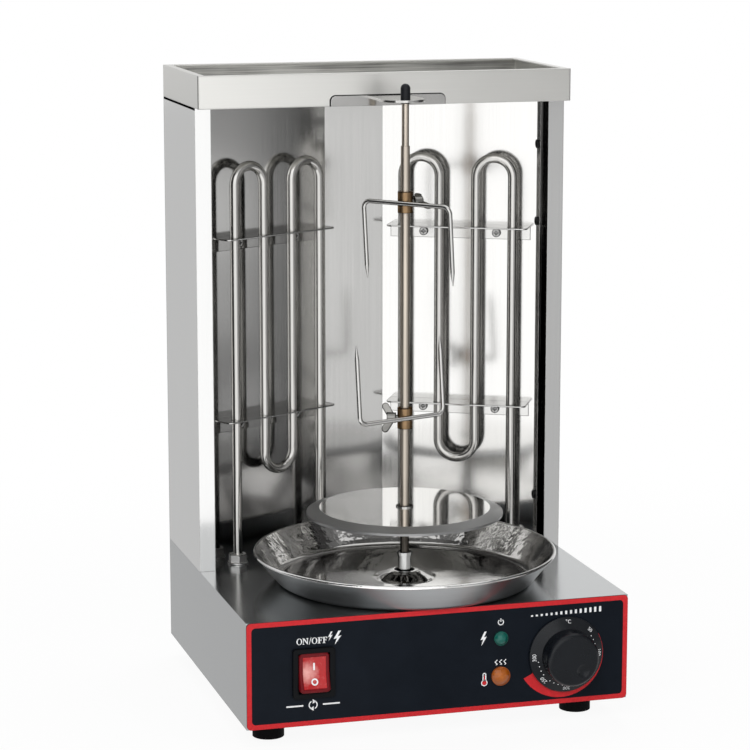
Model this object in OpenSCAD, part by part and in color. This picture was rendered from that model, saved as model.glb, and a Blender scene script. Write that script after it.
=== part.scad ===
// Vertical kebab grill: a turning skewer in front of two electric heaters.
// X points to the right, Y to the back and Z up. The feet stand on Z = 0.
// The origin is under the middle of the object's whole outline.

/* [Base] */
// Width of the base and of the tower
base_w = 260; // [240:1:310]
// Depth of the base, front to back
base_d = 236; // [226:1:290]
// Height of the base box, without its feet
base_h = 71; // [68:1:95]
// Thickness of the folded sheet
sheet_t = 1.2; // [0.8:0.1:1.6]
// Thickness of the printed panel on the front
panel_t = 0.8; // [0.5:0.1:1.2]
// Corner radius of the printed panel
panel_corner_r = 3; // [1:0.5:6]
// Diameter of a rubber foot
foot_d = 21; // [18:0.5:28]
// Height of a rubber foot
foot_h = 16; // [12:0.5:25]
// Foot centre from the side of the base
foot_inset_x = 23; // [18:1:32]
// Foot centre from the front and the back of the base
foot_inset_y = 36; // [24:1:50]

/* [Tower] */
// Depth of the tower, from the post faces to the back
tower_d = 101; // [94:1:108]
// Height of the tower, from the base to the tray
tower_h = 317; // [300:1:350]
// Width of a front post
post_w = 11; // [9:0.5:14]
// Depth of the post's inner side that stays in view
post_reveal = 14; // [10:0.5:18]
// Overlap of a reflector panel on the post's inner side
reflector_lap = 7; // [6:0.5:9]
// Thickness of the reflector sheet
reflector_t = 0.8; // [0.6:0.1:1.2]
// Width of the centre reflector panel
reflector_center_w = 42; // [36:1:54]
// Centre reflector panel from the back of the tower
reflector_gap = 28; // [22:1:34]
// Height of the tray
tray_h = 22; // [16:1:36]
// Reach of the tray in front of the posts
tray_overhang = 12.5; // [8:0.5:18]
// Width of the tray's folded lip
tray_lip = 5; // [3:0.5:9]

/* [Skewer bracket] */
// Width of the flange on the tray
bracket_w = 80; // [60:1:110]
// Height of the flange on the tray
bracket_h = 7; // [6:0.5:12]
// Thickness of the bracket
bracket_t = 1.6; // [1.2:0.1:2.4]
// Width of the tongue
tongue_w = 30; // [22:1:40]
// Reach of the tongue in front of the skewer
tongue_nose = 7.7; // [6:0.1:14]

/* [Heaters] */
// Diameter of the heater tube
tube_d = 6.6; // [6:0.2:8]
// Distance between neighbouring legs
leg_pitch = 26; // [23:0.5:28]
// First leg from the fold of the side panel
heater_inset = 15; // [13:0.5:19]
// Tube centre in front of the side panel
heater_standoff = 12; // [10:0.5:14]
// Top of the loops above the base
heater_top = 278.5; // [250:0.5:295]
// Lowest point of the middle loop above the base
heater_low = 58; // [50:0.5:90]
// Upper clip above the base
clip_upper = 226; // [200:1:240]
// Lower clip above the base
clip_lower = 100; // [94:1:140]
// Depth of a clip
clip_depth = 18; // [16.5:0.5:20]
// Height of a clip's flange
clip_flange_h = 9; // [8:0.5:14]
// Thickness of a clip
clip_t = 1; // [0.8:0.1:1.4]
// Clip beyond the outer legs
clip_over = 11; // [8:0.5:12]

/* [Skewer] */
// Skewer in front of the post faces
skewer_reach = 53.3; // [46:0.1:60]
// Diameter of the skewer rod
rod_d = 6; // [5.4:0.1:7]
// Diameter of the rod's thin upper end
rod_tip_d = 4.8; // [4:0.1:5]
// Upper end of the full rod above the base
rod_shoulder = 293.5; // [285:0.5:300]
// Side of the square tang that drives the rod
tang_w = 4.2; // [3.6:0.1:4.6]
// Length of the square tang
tang_l = 14; // [10:0.5:15]
// Diameter of the end cap
cap_d = 6.5; // [6:0.1:8]
// Height of the end cap
cap_h = 13; // [10:0.5:20]
// Cap below the top of the tongue
cap_below = 2.5; // [2:0.1:4]
// Diameter of the meat disc
disc_d = 132.6; // [116:0.2:150]
// Diameter of the disc's flat top
disc_flat_d = 115.2; // [90:0.2:115.2]
// Fall of the disc's sloping rim
disc_drop = 3; // [1:0.5:5]
// Thickness of the disc
disc_t = 1.5; // [1:0.1:2]
// Top of the disc above the base
disc_rise = 49.8; // [48:0.2:60]

/* [Forks] */
// Distance between the prongs of a fork
fork_w = 68; // [50:1:84]
// Length of a prong
prong_l = 52.7; // [40:0.1:60]
// Diameter of the fork wire
wire_d = 3; // [2.4:0.1:3.6]
// Bend radius of the fork wire
fork_bend_r = 5; // [4:0.5:8]
// Diameter of a fork collar
collar_d = 10; // [9.5:0.1:12]
// Height of a fork collar
collar_h = 14; // [13:0.5:18]
// Middle of the upper collar above the base
upper_fork_rise = 256.4; // [240:0.1:264]
// Middle of the lower collar above the base
lower_fork_rise = 110.8; // [104:0.1:125]
// Turn of the upper fork about the rod
upper_fork_turn = -50.2; // [-90:0.1:90]
// Turn of the lower fork about the rod
lower_fork_turn = 18.7; // [-90:0.1:90]
// Shift of the upper fork's cross wire along its seat
upper_fork_shift = 4.1; // [-8:0.1:8]
// Shift of the lower fork's cross wire along its seat
lower_fork_shift = -5.7; // [-8:0.1:8]
// Lean of the prongs toward the rod
prong_tilt = 5; // [0:0.5:7]
// Turn of the upper wing screw from the fork's cross wire
upper_screw_turn = 60; // [45:1:135]
// Turn of the lower wing screw from the fork's cross wire
lower_screw_turn = 142; // [45:1:150]
// Diameter of the wing screw's thread
wing_thread_d = 4; // [3:0.5:5]
// Half the span of the wings
wing_reach = 10; // [8:0.5:11]

/* [Drip pan] */
// Diameter over the pan's rim
pan_d = 204.8; // [190:0.2:210]
// Height of the pan
pan_h = 21; // [16:0.1:26]
// Diameter of the pan's floor
pan_floor_d = 164; // [140:1:170]
// Radius between the pan's floor and its wall
pan_corner_r = 8; // [5:0.5:10]
// Thickness of the pan
pan_t = 0.8; // [0.6:0.1:1.2]
// Thickness of the rolled rim
pan_bead_d = 2.4; // [2:0.1:3.4]
// Diameter of the raised middle
pan_hub_d = 45; // [40:1:70]
// Height of the raised middle
pan_hub_h = 6.2; // [5:0.1:8]
// Diameter of the hole in the middle
pan_hole_d = 14; // [13:0.5:17]

/* [Drive] */
// Diameter of the drive coupling
coupling_d = 8.6; // [8.2:0.1:10]
// Diameter of the ring at the coupling's top
coupling_ring_d = 10; // [9:0.1:11]
// Top of the coupling above the base
coupling_rise = 18.5; // [17:0.5:22]
// Diameter of the coupling's hub below the base top
coupling_hub_d = 13; // [11:0.5:16]
// Diameter of the motor's output shaft
shaft_d = 6; // [5:0.1:7]
// Diameter of the motor and its gearbox
motor_d = 50; // [42:1:56]
// Height of the motor
motor_h = 22; // [16:1:24]
// Height of the gearbox
gearbox_h = 14; // [12:0.5:16]
// Gearbox top below the base sheet
motor_drop = 12; // [11:0.5:14]
// Distance between the motor's two screws
motor_screw_pitch = 62; // [60:1:70]

/* [Rocker switch] */
// Switch centre from the left side of the base
switch_inset = 44.2; // [30:0.2:60]
// Switch centre above the base's lower edge
switch_rise = 35.4; // [28:0.2:40]
// Width of the switch bezel
bezel_w = 28; // [27:0.5:32]
// Height of the switch bezel
bezel_h = 33; // [32:0.5:38]
// Thickness of the switch bezel
bezel_t = 2.2; // [1.5:0.1:3]
// Width of the rocker
rocker_w = 20.3; // [16:0.1:20.4]
// Height of the rocker
rocker_h = 25.8; // [22:0.2:26]
// Tilt of the rocker to each side of its middle
rocker_tilt = 9; // [6:0.5:11]

/* [Lamps] */
// Lamp centres from the right side of the base
lamp_inset = 88.8; // [84:0.2:100]
// Green lamp above the base's lower edge
green_rise = 48.2; // [44:0.2:54]
// Amber lamp above the base's lower edge
amber_rise = 22.6; // [18:0.2:26]
// Diameter of the green lens
green_d = 9.6; // [8:0.1:12]
// Diameter of the amber lens
amber_d = 12.8; // [9:0.1:13.5]

/* [Temperature knob] */
// Knob centre from the right side of the base
knob_inset = 43.7; // [38:0.1:46]
// Knob centre above the base's lower edge
knob_rise = 34; // [30:0.5:38]
// Diameter of the knob's grip
knob_d = 36; // [32:0.5:42]
// Diameter of the knob's skirt
skirt_d = 51; // [45:0.5:54]
// Reach of the knob in front of the panel
knob_l = 18; // [16.5:0.5:26]
// Diameter of the thermostat spindle
spindle_d = 6; // [5:0.1:6.4]

/* [Cable gland] */
// Gland centre from the left side of the base
gland_inset = 45; // [30:1:60]
// Gland centre above the base's lower edge
gland_rise = 24; // [18:1:40]
// Diameter of the gland's bore for a cord
gland_bore_d = 9; // [7:0.5:10]
// Reach of the gland behind the base
gland_out = 14; // [10:0.5:20]

/* [Hidden] */
$fn = 48;

// Clearances: a running fit, a seated fit, a screw hole and a cut's overrun
run_fit = 0.05;
seat_fit = 0.03;
loose_fit = 0.3;
hole_fit = 0.2;
cut = 1;

// Screws: large ones hold the case, small ones the heater clips and the motor
screw_d = 4;
small_screw_d = 3;
screw_l = 8;
small_screw_l = 6;
slot_w = 0.8;
slot_depth = 0.9;

// Levels
base_top = foot_h + base_h;
base_under = base_top - sheet_t;
plate_top = foot_h + sheet_t;
tray_z = base_top + tower_h;
bracket_top = tray_z + bracket_h;
coupling_top = base_top + coupling_rise;
disc_top = base_top + disc_rise;
shoulder_z = base_top + rod_shoulder;
cap_z = bracket_top - cap_below;

// Front and back: the outline runs from the pan or the knob to the gland
axis_back = base_d - tower_d - skewer_reach;
knob_reach = panel_t + knob_l;
pan_reach = pan_d / 2 - axis_back;
reach_front = max(knob_reach, pan_reach);
base_front = (reach_front - gland_out - base_d) / 2;
base_back = base_front + base_d;
panel_front = base_front - panel_t;
half_w = base_w / 2;
axis_y = base_front + axis_back;

// Tower plan
tower_front = base_back - tower_d;
tray_front = tower_front - tray_overhang;
tray_d = tower_d + tray_overhang;
post_inner = half_w - post_w;
post_return = post_reveal + reflector_lap;
wall_flange = 14;
wall_flange_start = 8;
flange_screw_front = 16;
flange_screw_back = 18;
lap_low_rise = 35;
lap_mid_drop = 86;
lap_top_drop = 32;
lap_screw_rises = [lap_low_rise, tower_h - lap_mid_drop, tower_h - lap_top_drop];
center_y = base_back - reflector_gap;
fold_x = -(post_inner - reflector_t);
fold_y = tower_front + post_return;
fold_run = [-reflector_center_w / 2 - fold_x, center_y - fold_y];
panel_angle = atan2(fold_run[1], fold_run[0]);
panel_run = [cos(panel_angle), sin(panel_angle)];
panel_rear = [-sin(panel_angle), cos(panel_angle)];
center_edge = [-reflector_center_w / 2, center_y];
center_flange = 9;

// Feet and their screws
foot_x = half_w - foot_inset_x;
foot_y = [base_front + foot_inset_y, base_back - foot_inset_y];
base_flange_w = foot_inset_x + foot_d / 2;
foot_recess_d = 2 * screw_d + 2;
foot_recess_h = foot_h / 2;
foot_seat = foot_recess_h + screw_head_h(screw_d);
nut_h = 3.2;

// Heaters
loop_r = leg_pitch / 2;
loop_top_z = base_top + heater_top - tube_d / 2 - loop_r;
loop_low_z = base_top + heater_low + tube_d / 2 + loop_r;
fitting_wall = 1.7;
fitting_hex_wall = 2.5;
washer_wall = 4;
fitting_d = tube_d + 2 * fitting_wall;
fitting_hex = tube_d + 2 * fitting_hex_wall;
fitting_h = 5.5;
washer_d = tube_d + 2 * washer_wall;
washer_t = 1.2;
locknut_h = 3.5;
locknut_hex = fitting_hex + 3;
fitting_tail = sheet_t + locknut_h + 1;
heater_tail = fitting_tail + 6;
bead_h = 7;
pin_d = 3;
pin_l = 16;

// Clips
clip_len = 3 * leg_pitch + 2 * clip_over;
clip_corner_r = 4;
clip_screw_u = [heater_inset + leg_pitch / 2, heater_inset + 2.5 * leg_pitch];
clip_screw_drop = clip_flange_h / 2;

// Drive
bush_d = coupling_d + 5;
bush_flange_d = bush_d + 7;
bush_flange_t = 1.4;
bush_depth = 2.4;
hub_top_z = base_under - bush_depth;
gearbox_top = base_under - motor_drop;
motor_bracket_t = 1.5;
motor_bracket_top = gearbox_top + motor_bracket_t;
coupling_low = motor_bracket_top + 1.2;
socket_depth = tang_l + 0.5;
shaft_top = coupling_top - socket_depth - 3;
shaft_in_gearbox = 9;
gearbox_ear_t = 3;
gearbox_ear_d = 11;
motor_bracket_w = 34;
motor_leg_x = motor_screw_pitch / 2 + gearbox_ear_d / 2 + 3;
motor_flange = 13;

// Disc hub, from the top down: flange, sleeve, nut and cross pin
hub_sleeve_d = rod_d + 3.6;
hub_flange_d = hub_sleeve_d + 2.2;
hub_flange_t = 0.8;
hub_nut_hex = hub_sleeve_d + 5;
hub_nut_h = 4.5;
hub_below = disc_t + hub_nut_h + 5;
hub_pin_d = 2;
hub_pin_z = disc_top - hub_below + 2.4;

// Forks
cross_offset = 0.5;
prong_point_d = 0.6;
prong_point_l = 3 * wire_d;
wing_hub_d = wing_thread_d + 3;
wing_hub_l = 6;
wing_t = 2;
wing_tip_r = 2.4;
upper_wing_roll = 70;
lower_wing_roll = 20;
wing_start = collar_d / 2 + 1;

// Rocker switch
switch_x = -half_w + switch_inset;
switch_z = foot_h + switch_rise;
housing_w = bezel_w - 2;
housing_h = bezel_h - 2;
housing_depth = 26;
pivot_in = 3.2;
pivot_y = panel_front - bezel_t + pivot_in;
rocker_r = rocker_h / 2;
rocker_rise = pivot_in + rocker_r * tan(rocker_tilt) + 0.6;
rocker_valley = rocker_rise - 2;
rocker_back = 3.4;
trunnion_d = 3;
trunnion_l = 1.6;
well_gap = 0.35;
well_depth = pivot_in + rocker_r * sin(rocker_tilt) + rocker_back + 1;
blade_w = 6.3;
blade_t = 0.8;
blade_l = 9;
blade_pitch = 9;

// Lamps
lamp_x = half_w - lamp_inset;
green_z = foot_h + green_rise;
amber_z = foot_h + amber_rise;
lens_rim_t = 1.4;
lens_rise = 2.6;
lens_ledge = 0.4;
lens_stem_d = 4;
lens_stem_l = 8;
barrel_l = 22;
barrel_end = 3;
lamp_nut_t = 3;

// Knob and thermostat, measured outward from the panel's face
knob_x = half_w - knob_inset;
knob_z = foot_h + knob_rise;
knob_gap = 0.8;
skirt_edge = 1.2;
skirt_h = 5;
knob_edge_r = 3;
knob_wall = 2.5;
bush_out = 3.4;
thermo_nut_t = 2.4;
thermo_nut_hex = 14;
thermo_bush_d = 10;
boss_d = spindle_d + 6;
boss_gap = 4.2;
spindle_out = knob_l - 4;
spindle_flat = 1.1;
spindle_in = 12;
dimple_r = 9;
dimple_depth = 1.2;
dimple_at = 9.6;
dimple_turn = -50;
thermo_w = 38;
thermo_h = 34;
thermo_depth = 24;
thermo_blade_x = 10;
thermo_blade_z = 8;
capillary_d = 2;
capillary_bend = 8;
capillary_run = 12;
bulb_d = 6;
bulb_l = 46;

// Cable gland and terminal block
gland_x = -half_w + gland_inset;
gland_z = foot_h + gland_rise;
gland_wall = 3;
gland_thread_d = gland_bore_d + 2 * gland_wall;
gland_hex_wall = 5;
gland_hex = gland_bore_d + 2 * gland_hex_wall;
gland_flange_t = 5;
gland_dome_d = gland_thread_d + 1;
gland_nut_t = 4;
gland_in = 12;
block_w = 62;
block_d = 22;
block_h = 18;
block_poles = 6;
block_gap = 4;
block_back = 52;
block_x = -half_w + sheet_t + base_flange_w + block_gap;
block_y = base_back - block_back;
wire_hole_d = 5;
clamp_hole_d = 4;

// Rear cover
vent_w = 70;
vent_h = 4;
vent_pitch = 12;
vent_count = 7;
rear_screw_inset = 25;

function screw_head_h(d) = 0.55 * d;
function leg_u(i) = heater_inset + i * leg_pitch;

// Rectangle about the origin with round corners
module rounded_rect(w, h, r) {
  square([w - 2 * r, h], center = true);
  square([w, h - 2 * r], center = true);
  for (x = [-1, 1], y = [-1, 1])
    translate([x * (w / 2 - r), y * (h / 2 - r)])
      circle(r);
}

// Straight bar with round ends between two points
module bar(p, q, r) {
  run = q - p;
  translate(p)
    rotate(atan2(run[1], run[0]))
      translate([0, -r])
        square([norm(run), 2 * r]);
  for (end = [p, q])
    translate(end)
      circle(r);
}

// Hexagon across its flats
module hexagon(flats) {
  circle(d = flats / cos(30), $fn = 6);
}

// Ring about Z
module ring(outer_d, inner_d, h) {
  difference() {
    cylinder(d = outer_d, h = h);
    translate([0, 0, -cut])
      cylinder(d = inner_d, h = h + 2 * cut);
  }
}

// Hexagon nut on Z = 0
module hex_nut(flats, bore_d, h) {
  difference() {
    linear_extrude(h)
      hexagon(flats);
    translate([0, 0, -cut])
      cylinder(d = bore_d, h = h + 2 * cut);
  }
}

// Pan head screw: the head stands on Z = 0 and the shank hangs below
module pan_screw(d, l) {
  head_h = screw_head_h(d);
  difference() {
    cylinder(d = 2 * d, h = head_h);
    for (turn = [0, 90])
      rotate(turn)
        translate([-0.55 * d, -slot_w / 2, head_h - slot_depth])
          cube([1.1 * d, slot_w, slot_depth + cut]);
  }
  translate([0, 0, -l])
    cylinder(d = d, h = l);
}

// Turns Z to the front
module to_front() rotate([90, 0, 0]) children();

// Turns Z to the back
module to_back() rotate([-90, 0, 0]) children();

// The left half as drawn, or its mirror image on the right
module on_side(side) {
  if (side < 0)
    children();
  else
    mirror([1, 0, 0])
      children();
}

// Frame of the left side panel: X runs along the panel from its fold, -Y points away from its face
module on_panel(side) {
  on_side(side)
    translate([fold_x, fold_y, 0])
      rotate(panel_angle)
        children();
}

// Repeats its children at the heater legs that enter the base
module at_base_legs(z) {
  for (side = [-1, 1], i = [0, 3])
    on_panel(side)
      translate([leg_u(i), -heater_standoff, z])
        children();
}

// Repeats its children at the four feet
module at_feet(z) {
  for (x = [-foot_x, foot_x], y = foot_y)
    translate([x, y, z])
      children();
}

// Screws through the flanges at the foot and the head of the side walls
module at_wall_flanges(z) {
  x = half_w - sheet_t - wall_flange / 2;
  for (side = [-1, 1], y = [fold_y + flange_screw_front, base_back - flange_screw_back])
    translate([side * x, y, z])
      children();
}

// Screws of the rear cover
module at_rear_screws(y) {
  z_low = base_top + rear_screw_inset;
  z_high = tray_z - rear_screw_inset;
  for (x = [-1, 1], z = [z_low, (z_low + z_high) / 2, z_high])
    translate([x * (half_w - wall_flange / 2), y, z])
      children();
}

// Screws through the reflector's lap, on the inner side of each post
module at_lap_screws() {
  for (side = [-1, 1], rise = lap_screw_rises)
    on_side(side)
      translate([fold_x, fold_y - reflector_lap / 2, base_top + rise])
        rotate([0, 90, 0])
          children();
}

// Clip screws in the side panels
module at_clip_screws() {
  for (side = [-1, 1], z = [clip_upper, clip_lower], u = clip_screw_u)
    on_panel(side)
      translate([u, 0, base_top + z - clip_screw_drop])
        to_front()
          children();
}

// Base
module base_shell() {
  color("silver")
  difference() {
    union() {
      difference() {
        translate([-half_w, base_front, foot_h])
          cube([base_w, base_d, base_h]);
        translate([-half_w + sheet_t, base_front + sheet_t, foot_h - cut])
          cube([base_w - 2 * sheet_t, base_d - 2 * sheet_t, base_h - sheet_t + cut]);
      }
      for (x = [-half_w + sheet_t, half_w - sheet_t - base_flange_w])
        translate([x, base_front + sheet_t, plate_top])
          cube([base_flange_w, base_d - 2 * sheet_t, sheet_t]);
    }
    at_feet(plate_top - cut)
      cylinder(d = screw_d + 2 * hole_fit, h = sheet_t + 2 * cut);
    translate([0, axis_y, base_under - cut])
      cylinder(d = bush_d, h = sheet_t + 2 * cut);
    at_base_legs(base_under - cut)
      cylinder(d = fitting_d + 2 * hole_fit, h = sheet_t + 2 * cut);
    at_wall_flanges(base_under - cut)
      cylinder(d = screw_d, h = sheet_t + 2 * cut);
    for (x = [-motor_leg_x - motor_flange / 2, motor_leg_x + motor_flange / 2])
      translate([x, axis_y, base_under - cut])
        cylinder(d = small_screw_d + 2 * hole_fit, h = sheet_t + 2 * cut);
    panel_holes(base_front + sheet_t + cut, sheet_t + 2 * cut);
    translate([gland_x, base_back - sheet_t - cut, gland_z])
      to_back()
        cylinder(d = gland_thread_d + 2 * hole_fit, h = sheet_t + 2 * cut);
  }
}

// Openings through the front for the switch, the lamps and the thermostat
module panel_holes(y, depth) {
  translate([switch_x, y, switch_z])
    to_front()
      linear_extrude(depth)
        square([housing_w + 2 * hole_fit, housing_h + 2 * hole_fit], center = true);
  translate([lamp_x, y, green_z])
    to_front()
      cylinder(d = barrel_d(green_d) + 2 * hole_fit, h = depth);
  translate([lamp_x, y, amber_z])
    to_front()
      cylinder(d = barrel_d(amber_d) + 2 * hole_fit, h = depth);
  translate([knob_x, y, knob_z])
    to_front()
      cylinder(d = thermo_bush_d + 2 * hole_fit, h = depth);
}

function barrel_d(lens_d) = lens_d - 2.4;

module bottom_plate() {
  color("silver")
  difference() {
    translate([-half_w + sheet_t + loose_fit, base_front + sheet_t + loose_fit, foot_h])
      cube([base_w - 2 * (sheet_t + loose_fit), base_d - 2 * (sheet_t + loose_fit), sheet_t]);
    at_feet(foot_h - cut)
      cylinder(d = screw_d + 2 * hole_fit, h = sheet_t + 2 * cut);
    for (i = [0 : vent_count - 1])
      translate([0, axis_y + (i - (vent_count - 1) / 2) * vent_pitch, foot_h - cut])
        linear_extrude(sheet_t + 2 * cut)
          bar([-vent_w / 2, 0], [vent_w / 2, 0], vent_h / 2);
  }
}

module control_panel() {
  color([0.1, 0.12, 0.15])
  difference() {
    translate([0, base_front, foot_h + base_h / 2])
      to_front()
        linear_extrude(panel_t)
          rounded_rect(base_w, base_h, panel_corner_r);
    panel_holes(base_front + cut, panel_t + 2 * cut);
  }
}

module rubber_feet() {
  color([0.08, 0.08, 0.08])
  at_feet(0)
    difference() {
      cylinder(d = foot_d, h = foot_h);
      translate([0, 0, -cut])
        cylinder(d = foot_recess_d, h = foot_recess_h + screw_head_h(screw_d) + cut);
      cylinder(d = screw_d + 2 * hole_fit, h = foot_h + cut);
    }
}

module foot_screws() {
  color("gainsboro")
  at_feet(foot_seat)
    mirror([0, 0, 1])
      pan_screw(screw_d, plate_top + sheet_t + nut_h + 1 - foot_seat);
}

module foot_nuts() {
  color("gainsboro")
  at_feet(plate_top + sheet_t)
    hex_nut(1.75 * screw_d, screw_d + 2 * seat_fit, nut_h);
}

// Tower
module side_wall(side) {
  flange_y = fold_y + wall_flange_start;
  flange_l = base_back - 2 * sheet_t - flange_y;
  on_side(side)
    difference() {
      union() {
        translate([0, 0, base_top])
          linear_extrude(tower_h) {
            translate([-half_w, tower_front])
              square([sheet_t, tower_d - sheet_t]);
            translate([-half_w, tower_front])
              square([post_w, sheet_t]);
            translate([-post_inner - sheet_t, tower_front])
              square([sheet_t, post_return]);
            translate([-half_w, base_back - 2 * sheet_t])
              square([wall_flange, sheet_t]);
          }
        for (z = [base_top, tray_z - sheet_t])
          translate([-half_w + sheet_t, flange_y, z])
            cube([wall_flange, flange_l, sheet_t]);
      }
      for (z = [base_top - cut, tray_z - sheet_t - cut])
        at_wall_flanges(z)
          cylinder(d = screw_d + 2 * hole_fit, h = sheet_t + 2 * cut);
      at_rear_screws(base_back - 2 * sheet_t - cut)
        to_back()
          cylinder(d = screw_d, h = sheet_t + 2 * cut);
      at_lap_screws()
        translate([0, 0, -reflector_t - sheet_t - cut])
          cylinder(d = small_screw_d, h = reflector_t + sheet_t + cut);
    }
}

module left_side_wall() {
  color("silver")
  side_wall(-1);
}

module right_side_wall() {
  color("silver")
  side_wall(1);
}

module rear_cover() {
  color("silver")
  difference() {
    translate([-half_w, base_back - sheet_t, base_top])
      cube([base_w, sheet_t, tower_h]);
    at_rear_screws(base_back - sheet_t - cut)
      to_back()
        cylinder(d = screw_d + 2 * hole_fit, h = sheet_t + 2 * cut);
    for (level = [0.25, 0.75], i = [0 : vent_count - 1])
      let (vent_z = base_top + level * tower_h + (i - vent_count / 2) * vent_pitch)
      translate([0, base_back - sheet_t - cut, vent_z])
        to_back()
          linear_extrude(sheet_t + 2 * cut)
            bar([-vent_w / 2, 0], [vent_w / 2, 0], vent_h / 2);
  }
}

module case_screws() {
  color("gainsboro") {
    at_rear_screws(base_back)
      to_back()
        pan_screw(screw_d, screw_l);
    at_wall_flanges(base_top + sheet_t)
      pan_screw(screw_d, screw_l);
  }
}

// Reflector
module side_reflector(side) {
  difference() {
    on_side(side)
      translate([0, 0, base_top])
        linear_extrude(tower_h)
          polygon([[-post_inner, tower_front + post_reveal], [fold_x, tower_front + post_reveal],
            [fold_x, fold_y], center_edge, center_edge + reflector_t * panel_rear,
            [-post_inner, fold_y + reflector_t * tan(45 - panel_angle / 2)]]);
    at_lap_screws()
      translate([0, 0, -reflector_t - cut])
        cylinder(d = small_screw_d + 2 * hole_fit, h = reflector_t + 2 * cut);
    at_clip_screws()
      translate([0, 0, -reflector_t - cut])
        cylinder(d = small_screw_d, h = reflector_t + 2 * cut);
  }
}

module left_reflector() {
  color("whitesmoke")
  side_reflector(-1);
}

module right_reflector() {
  color("whitesmoke")
  side_reflector(1);
}

// Flat panel with a flange behind each side panel
module center_reflector() {
  behind = center_edge + reflector_t * panel_rear;
  flange_end = behind - center_flange * panel_run;
  left = [center_edge, behind, flange_end, flange_end + reflector_t * panel_rear,
    behind + reflector_t * panel_rear, center_edge + [0, reflector_t]];
  right = [for (i = [len(left) - 1 : -1 : 0]) [-left[i][0], left[i][1]]];
  color("whitesmoke")
  translate([0, 0, base_top])
    linear_extrude(tower_h)
      polygon(concat(left, right));
}

module reflector_screws() {
  color("gainsboro")
  at_lap_screws()
    pan_screw(small_screw_d, small_screw_l);
}

// Tray and skewer bracket
module top_tray() {
  color("silver")
  difference() {
    translate([-half_w, tray_front, tray_z])
      cube([base_w, tray_d, tray_h]);
    translate([-half_w + sheet_t, tray_front + sheet_t, tray_z + sheet_t])
      cube([base_w - 2 * sheet_t, tray_d - 2 * sheet_t, tray_h - 2 * sheet_t]);
    translate([-half_w + tray_lip, tray_front + tray_lip, tray_z + tray_h / 2])
      cube([base_w - 2 * tray_lip, tray_d - 2 * tray_lip, tray_h]);
    at_wall_flanges(tray_z - cut)
      cylinder(d = screw_d + 2 * hole_fit, h = sheet_t + 2 * cut);
  }
}

module tray_screws() {
  color("gainsboro")
  at_wall_flanges(tray_z + sheet_t)
    pan_screw(screw_d, screw_l);
}

module skewer_bracket() {
  corner_r = bracket_h / 2;
  nose_y = axis_y - tongue_nose + tongue_w / 2;
  color("gainsboro") {
    translate([0, tray_front, tray_z])
      to_front()
        linear_extrude(bracket_t) {
          translate([-bracket_w / 2, 0])
            square([bracket_w, bracket_h - corner_r]);
          translate([-bracket_w / 2 + corner_r, 0])
            square([bracket_w - 2 * corner_r, bracket_h]);
          for (x = [-1, 1])
            translate([x * (bracket_w / 2 - corner_r), bracket_h - corner_r])
              circle(corner_r);
        }
    translate([0, 0, bracket_top - bracket_t])
      linear_extrude(bracket_t)
        difference() {
          union() {
            translate([-tongue_w / 2, nose_y])
              square([tongue_w, tray_front - nose_y]);
            translate([0, nose_y])
              circle(d = tongue_w);
          }
          translate([0, axis_y])
            circle(d = cap_d + 4 * run_fit);
        }
  }
}

// Heaters
module loop(turn) {
  rotate([turn, 0, 0])
    rotate_extrude(angle = 180)
      translate([loop_r, 0])
        circle(d = tube_d);
}

module heater(side) {
  leg_low = [base_top - heater_tail, loop_low_z, loop_low_z, base_top - heater_tail];
  color([0.55, 0.54, 0.52])
  on_panel(side)
    translate([0, -heater_standoff, 0]) {
      for (i = [0 : 3])
        translate([leg_u(i), 0, leg_low[i]])
          cylinder(d = tube_d, h = loop_top_z - leg_low[i]);
      for (i = [0, 2])
        translate([leg_u(i) + loop_r, 0, loop_top_z])
          loop(90);
      translate([leg_u(1) + loop_r, 0, loop_low_z])
        loop(-90);
    }
}

module left_heater() {
  heater(-1);
}

module right_heater() {
  heater(1);
}

module heater_fittings() {
  color("lightgray")
  at_base_legs(base_top + washer_t)
    difference() {
      union() {
        linear_extrude(fitting_h)
          hexagon(fitting_hex);
        translate([0, 0, -washer_t - fitting_tail])
          cylinder(d = fitting_d, h = washer_t + fitting_tail);
      }
      translate([0, 0, -washer_t - fitting_tail - cut])
        cylinder(d = tube_d + 2 * seat_fit, h = washer_t + fitting_tail + fitting_h + 2 * cut);
    }
}

module heater_washers() {
  color("gainsboro")
  at_base_legs(base_top)
    ring(washer_d, fitting_d + 2 * seat_fit, washer_t);
}

module heater_locknuts() {
  color("lightgray")
  at_base_legs(base_under - locknut_h)
    hex_nut(locknut_hex, fitting_d + 2 * seat_fit, locknut_h);
}

module heater_beads() {
  color("ivory")
  at_base_legs(base_top - heater_tail - bead_h)
    ring(tube_d, pin_d + 2 * seat_fit, bead_h);
}

module heater_pins() {
  color("lightgray")
  at_base_legs(base_top - heater_tail - pin_l)
    cylinder(d = pin_d, h = pin_l);
}

// Clips hold the heater tubes off the reflector
module heater_clip(side, rise) {
  first = heater_inset - clip_over;
  color("gainsboro")
  difference() {
    on_panel(side)
      translate([first, 0, base_top + rise])
        difference() {
          union() {
            linear_extrude(clip_t) {
              translate([0, -clip_depth + clip_corner_r])
                square([clip_len, clip_depth - clip_corner_r]);
              translate([clip_corner_r, -clip_depth])
                square([clip_len - 2 * clip_corner_r, clip_depth]);
              for (u = [clip_corner_r, clip_len - clip_corner_r])
                translate([u, -clip_depth + clip_corner_r])
                  circle(clip_corner_r);
            }
            translate([0, -clip_t, -clip_flange_h])
              cube([clip_len, clip_t, clip_flange_h]);
          }
          for (i = [0 : 3])
            translate([clip_over + i * leg_pitch, -heater_standoff, -cut])
              cylinder(d = tube_d + 2 * hole_fit, h = clip_t + 2 * cut);
        }
    at_clip_screws()
      cylinder(d = small_screw_d + 2 * hole_fit, h = clip_t + cut);
  }
}

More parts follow.
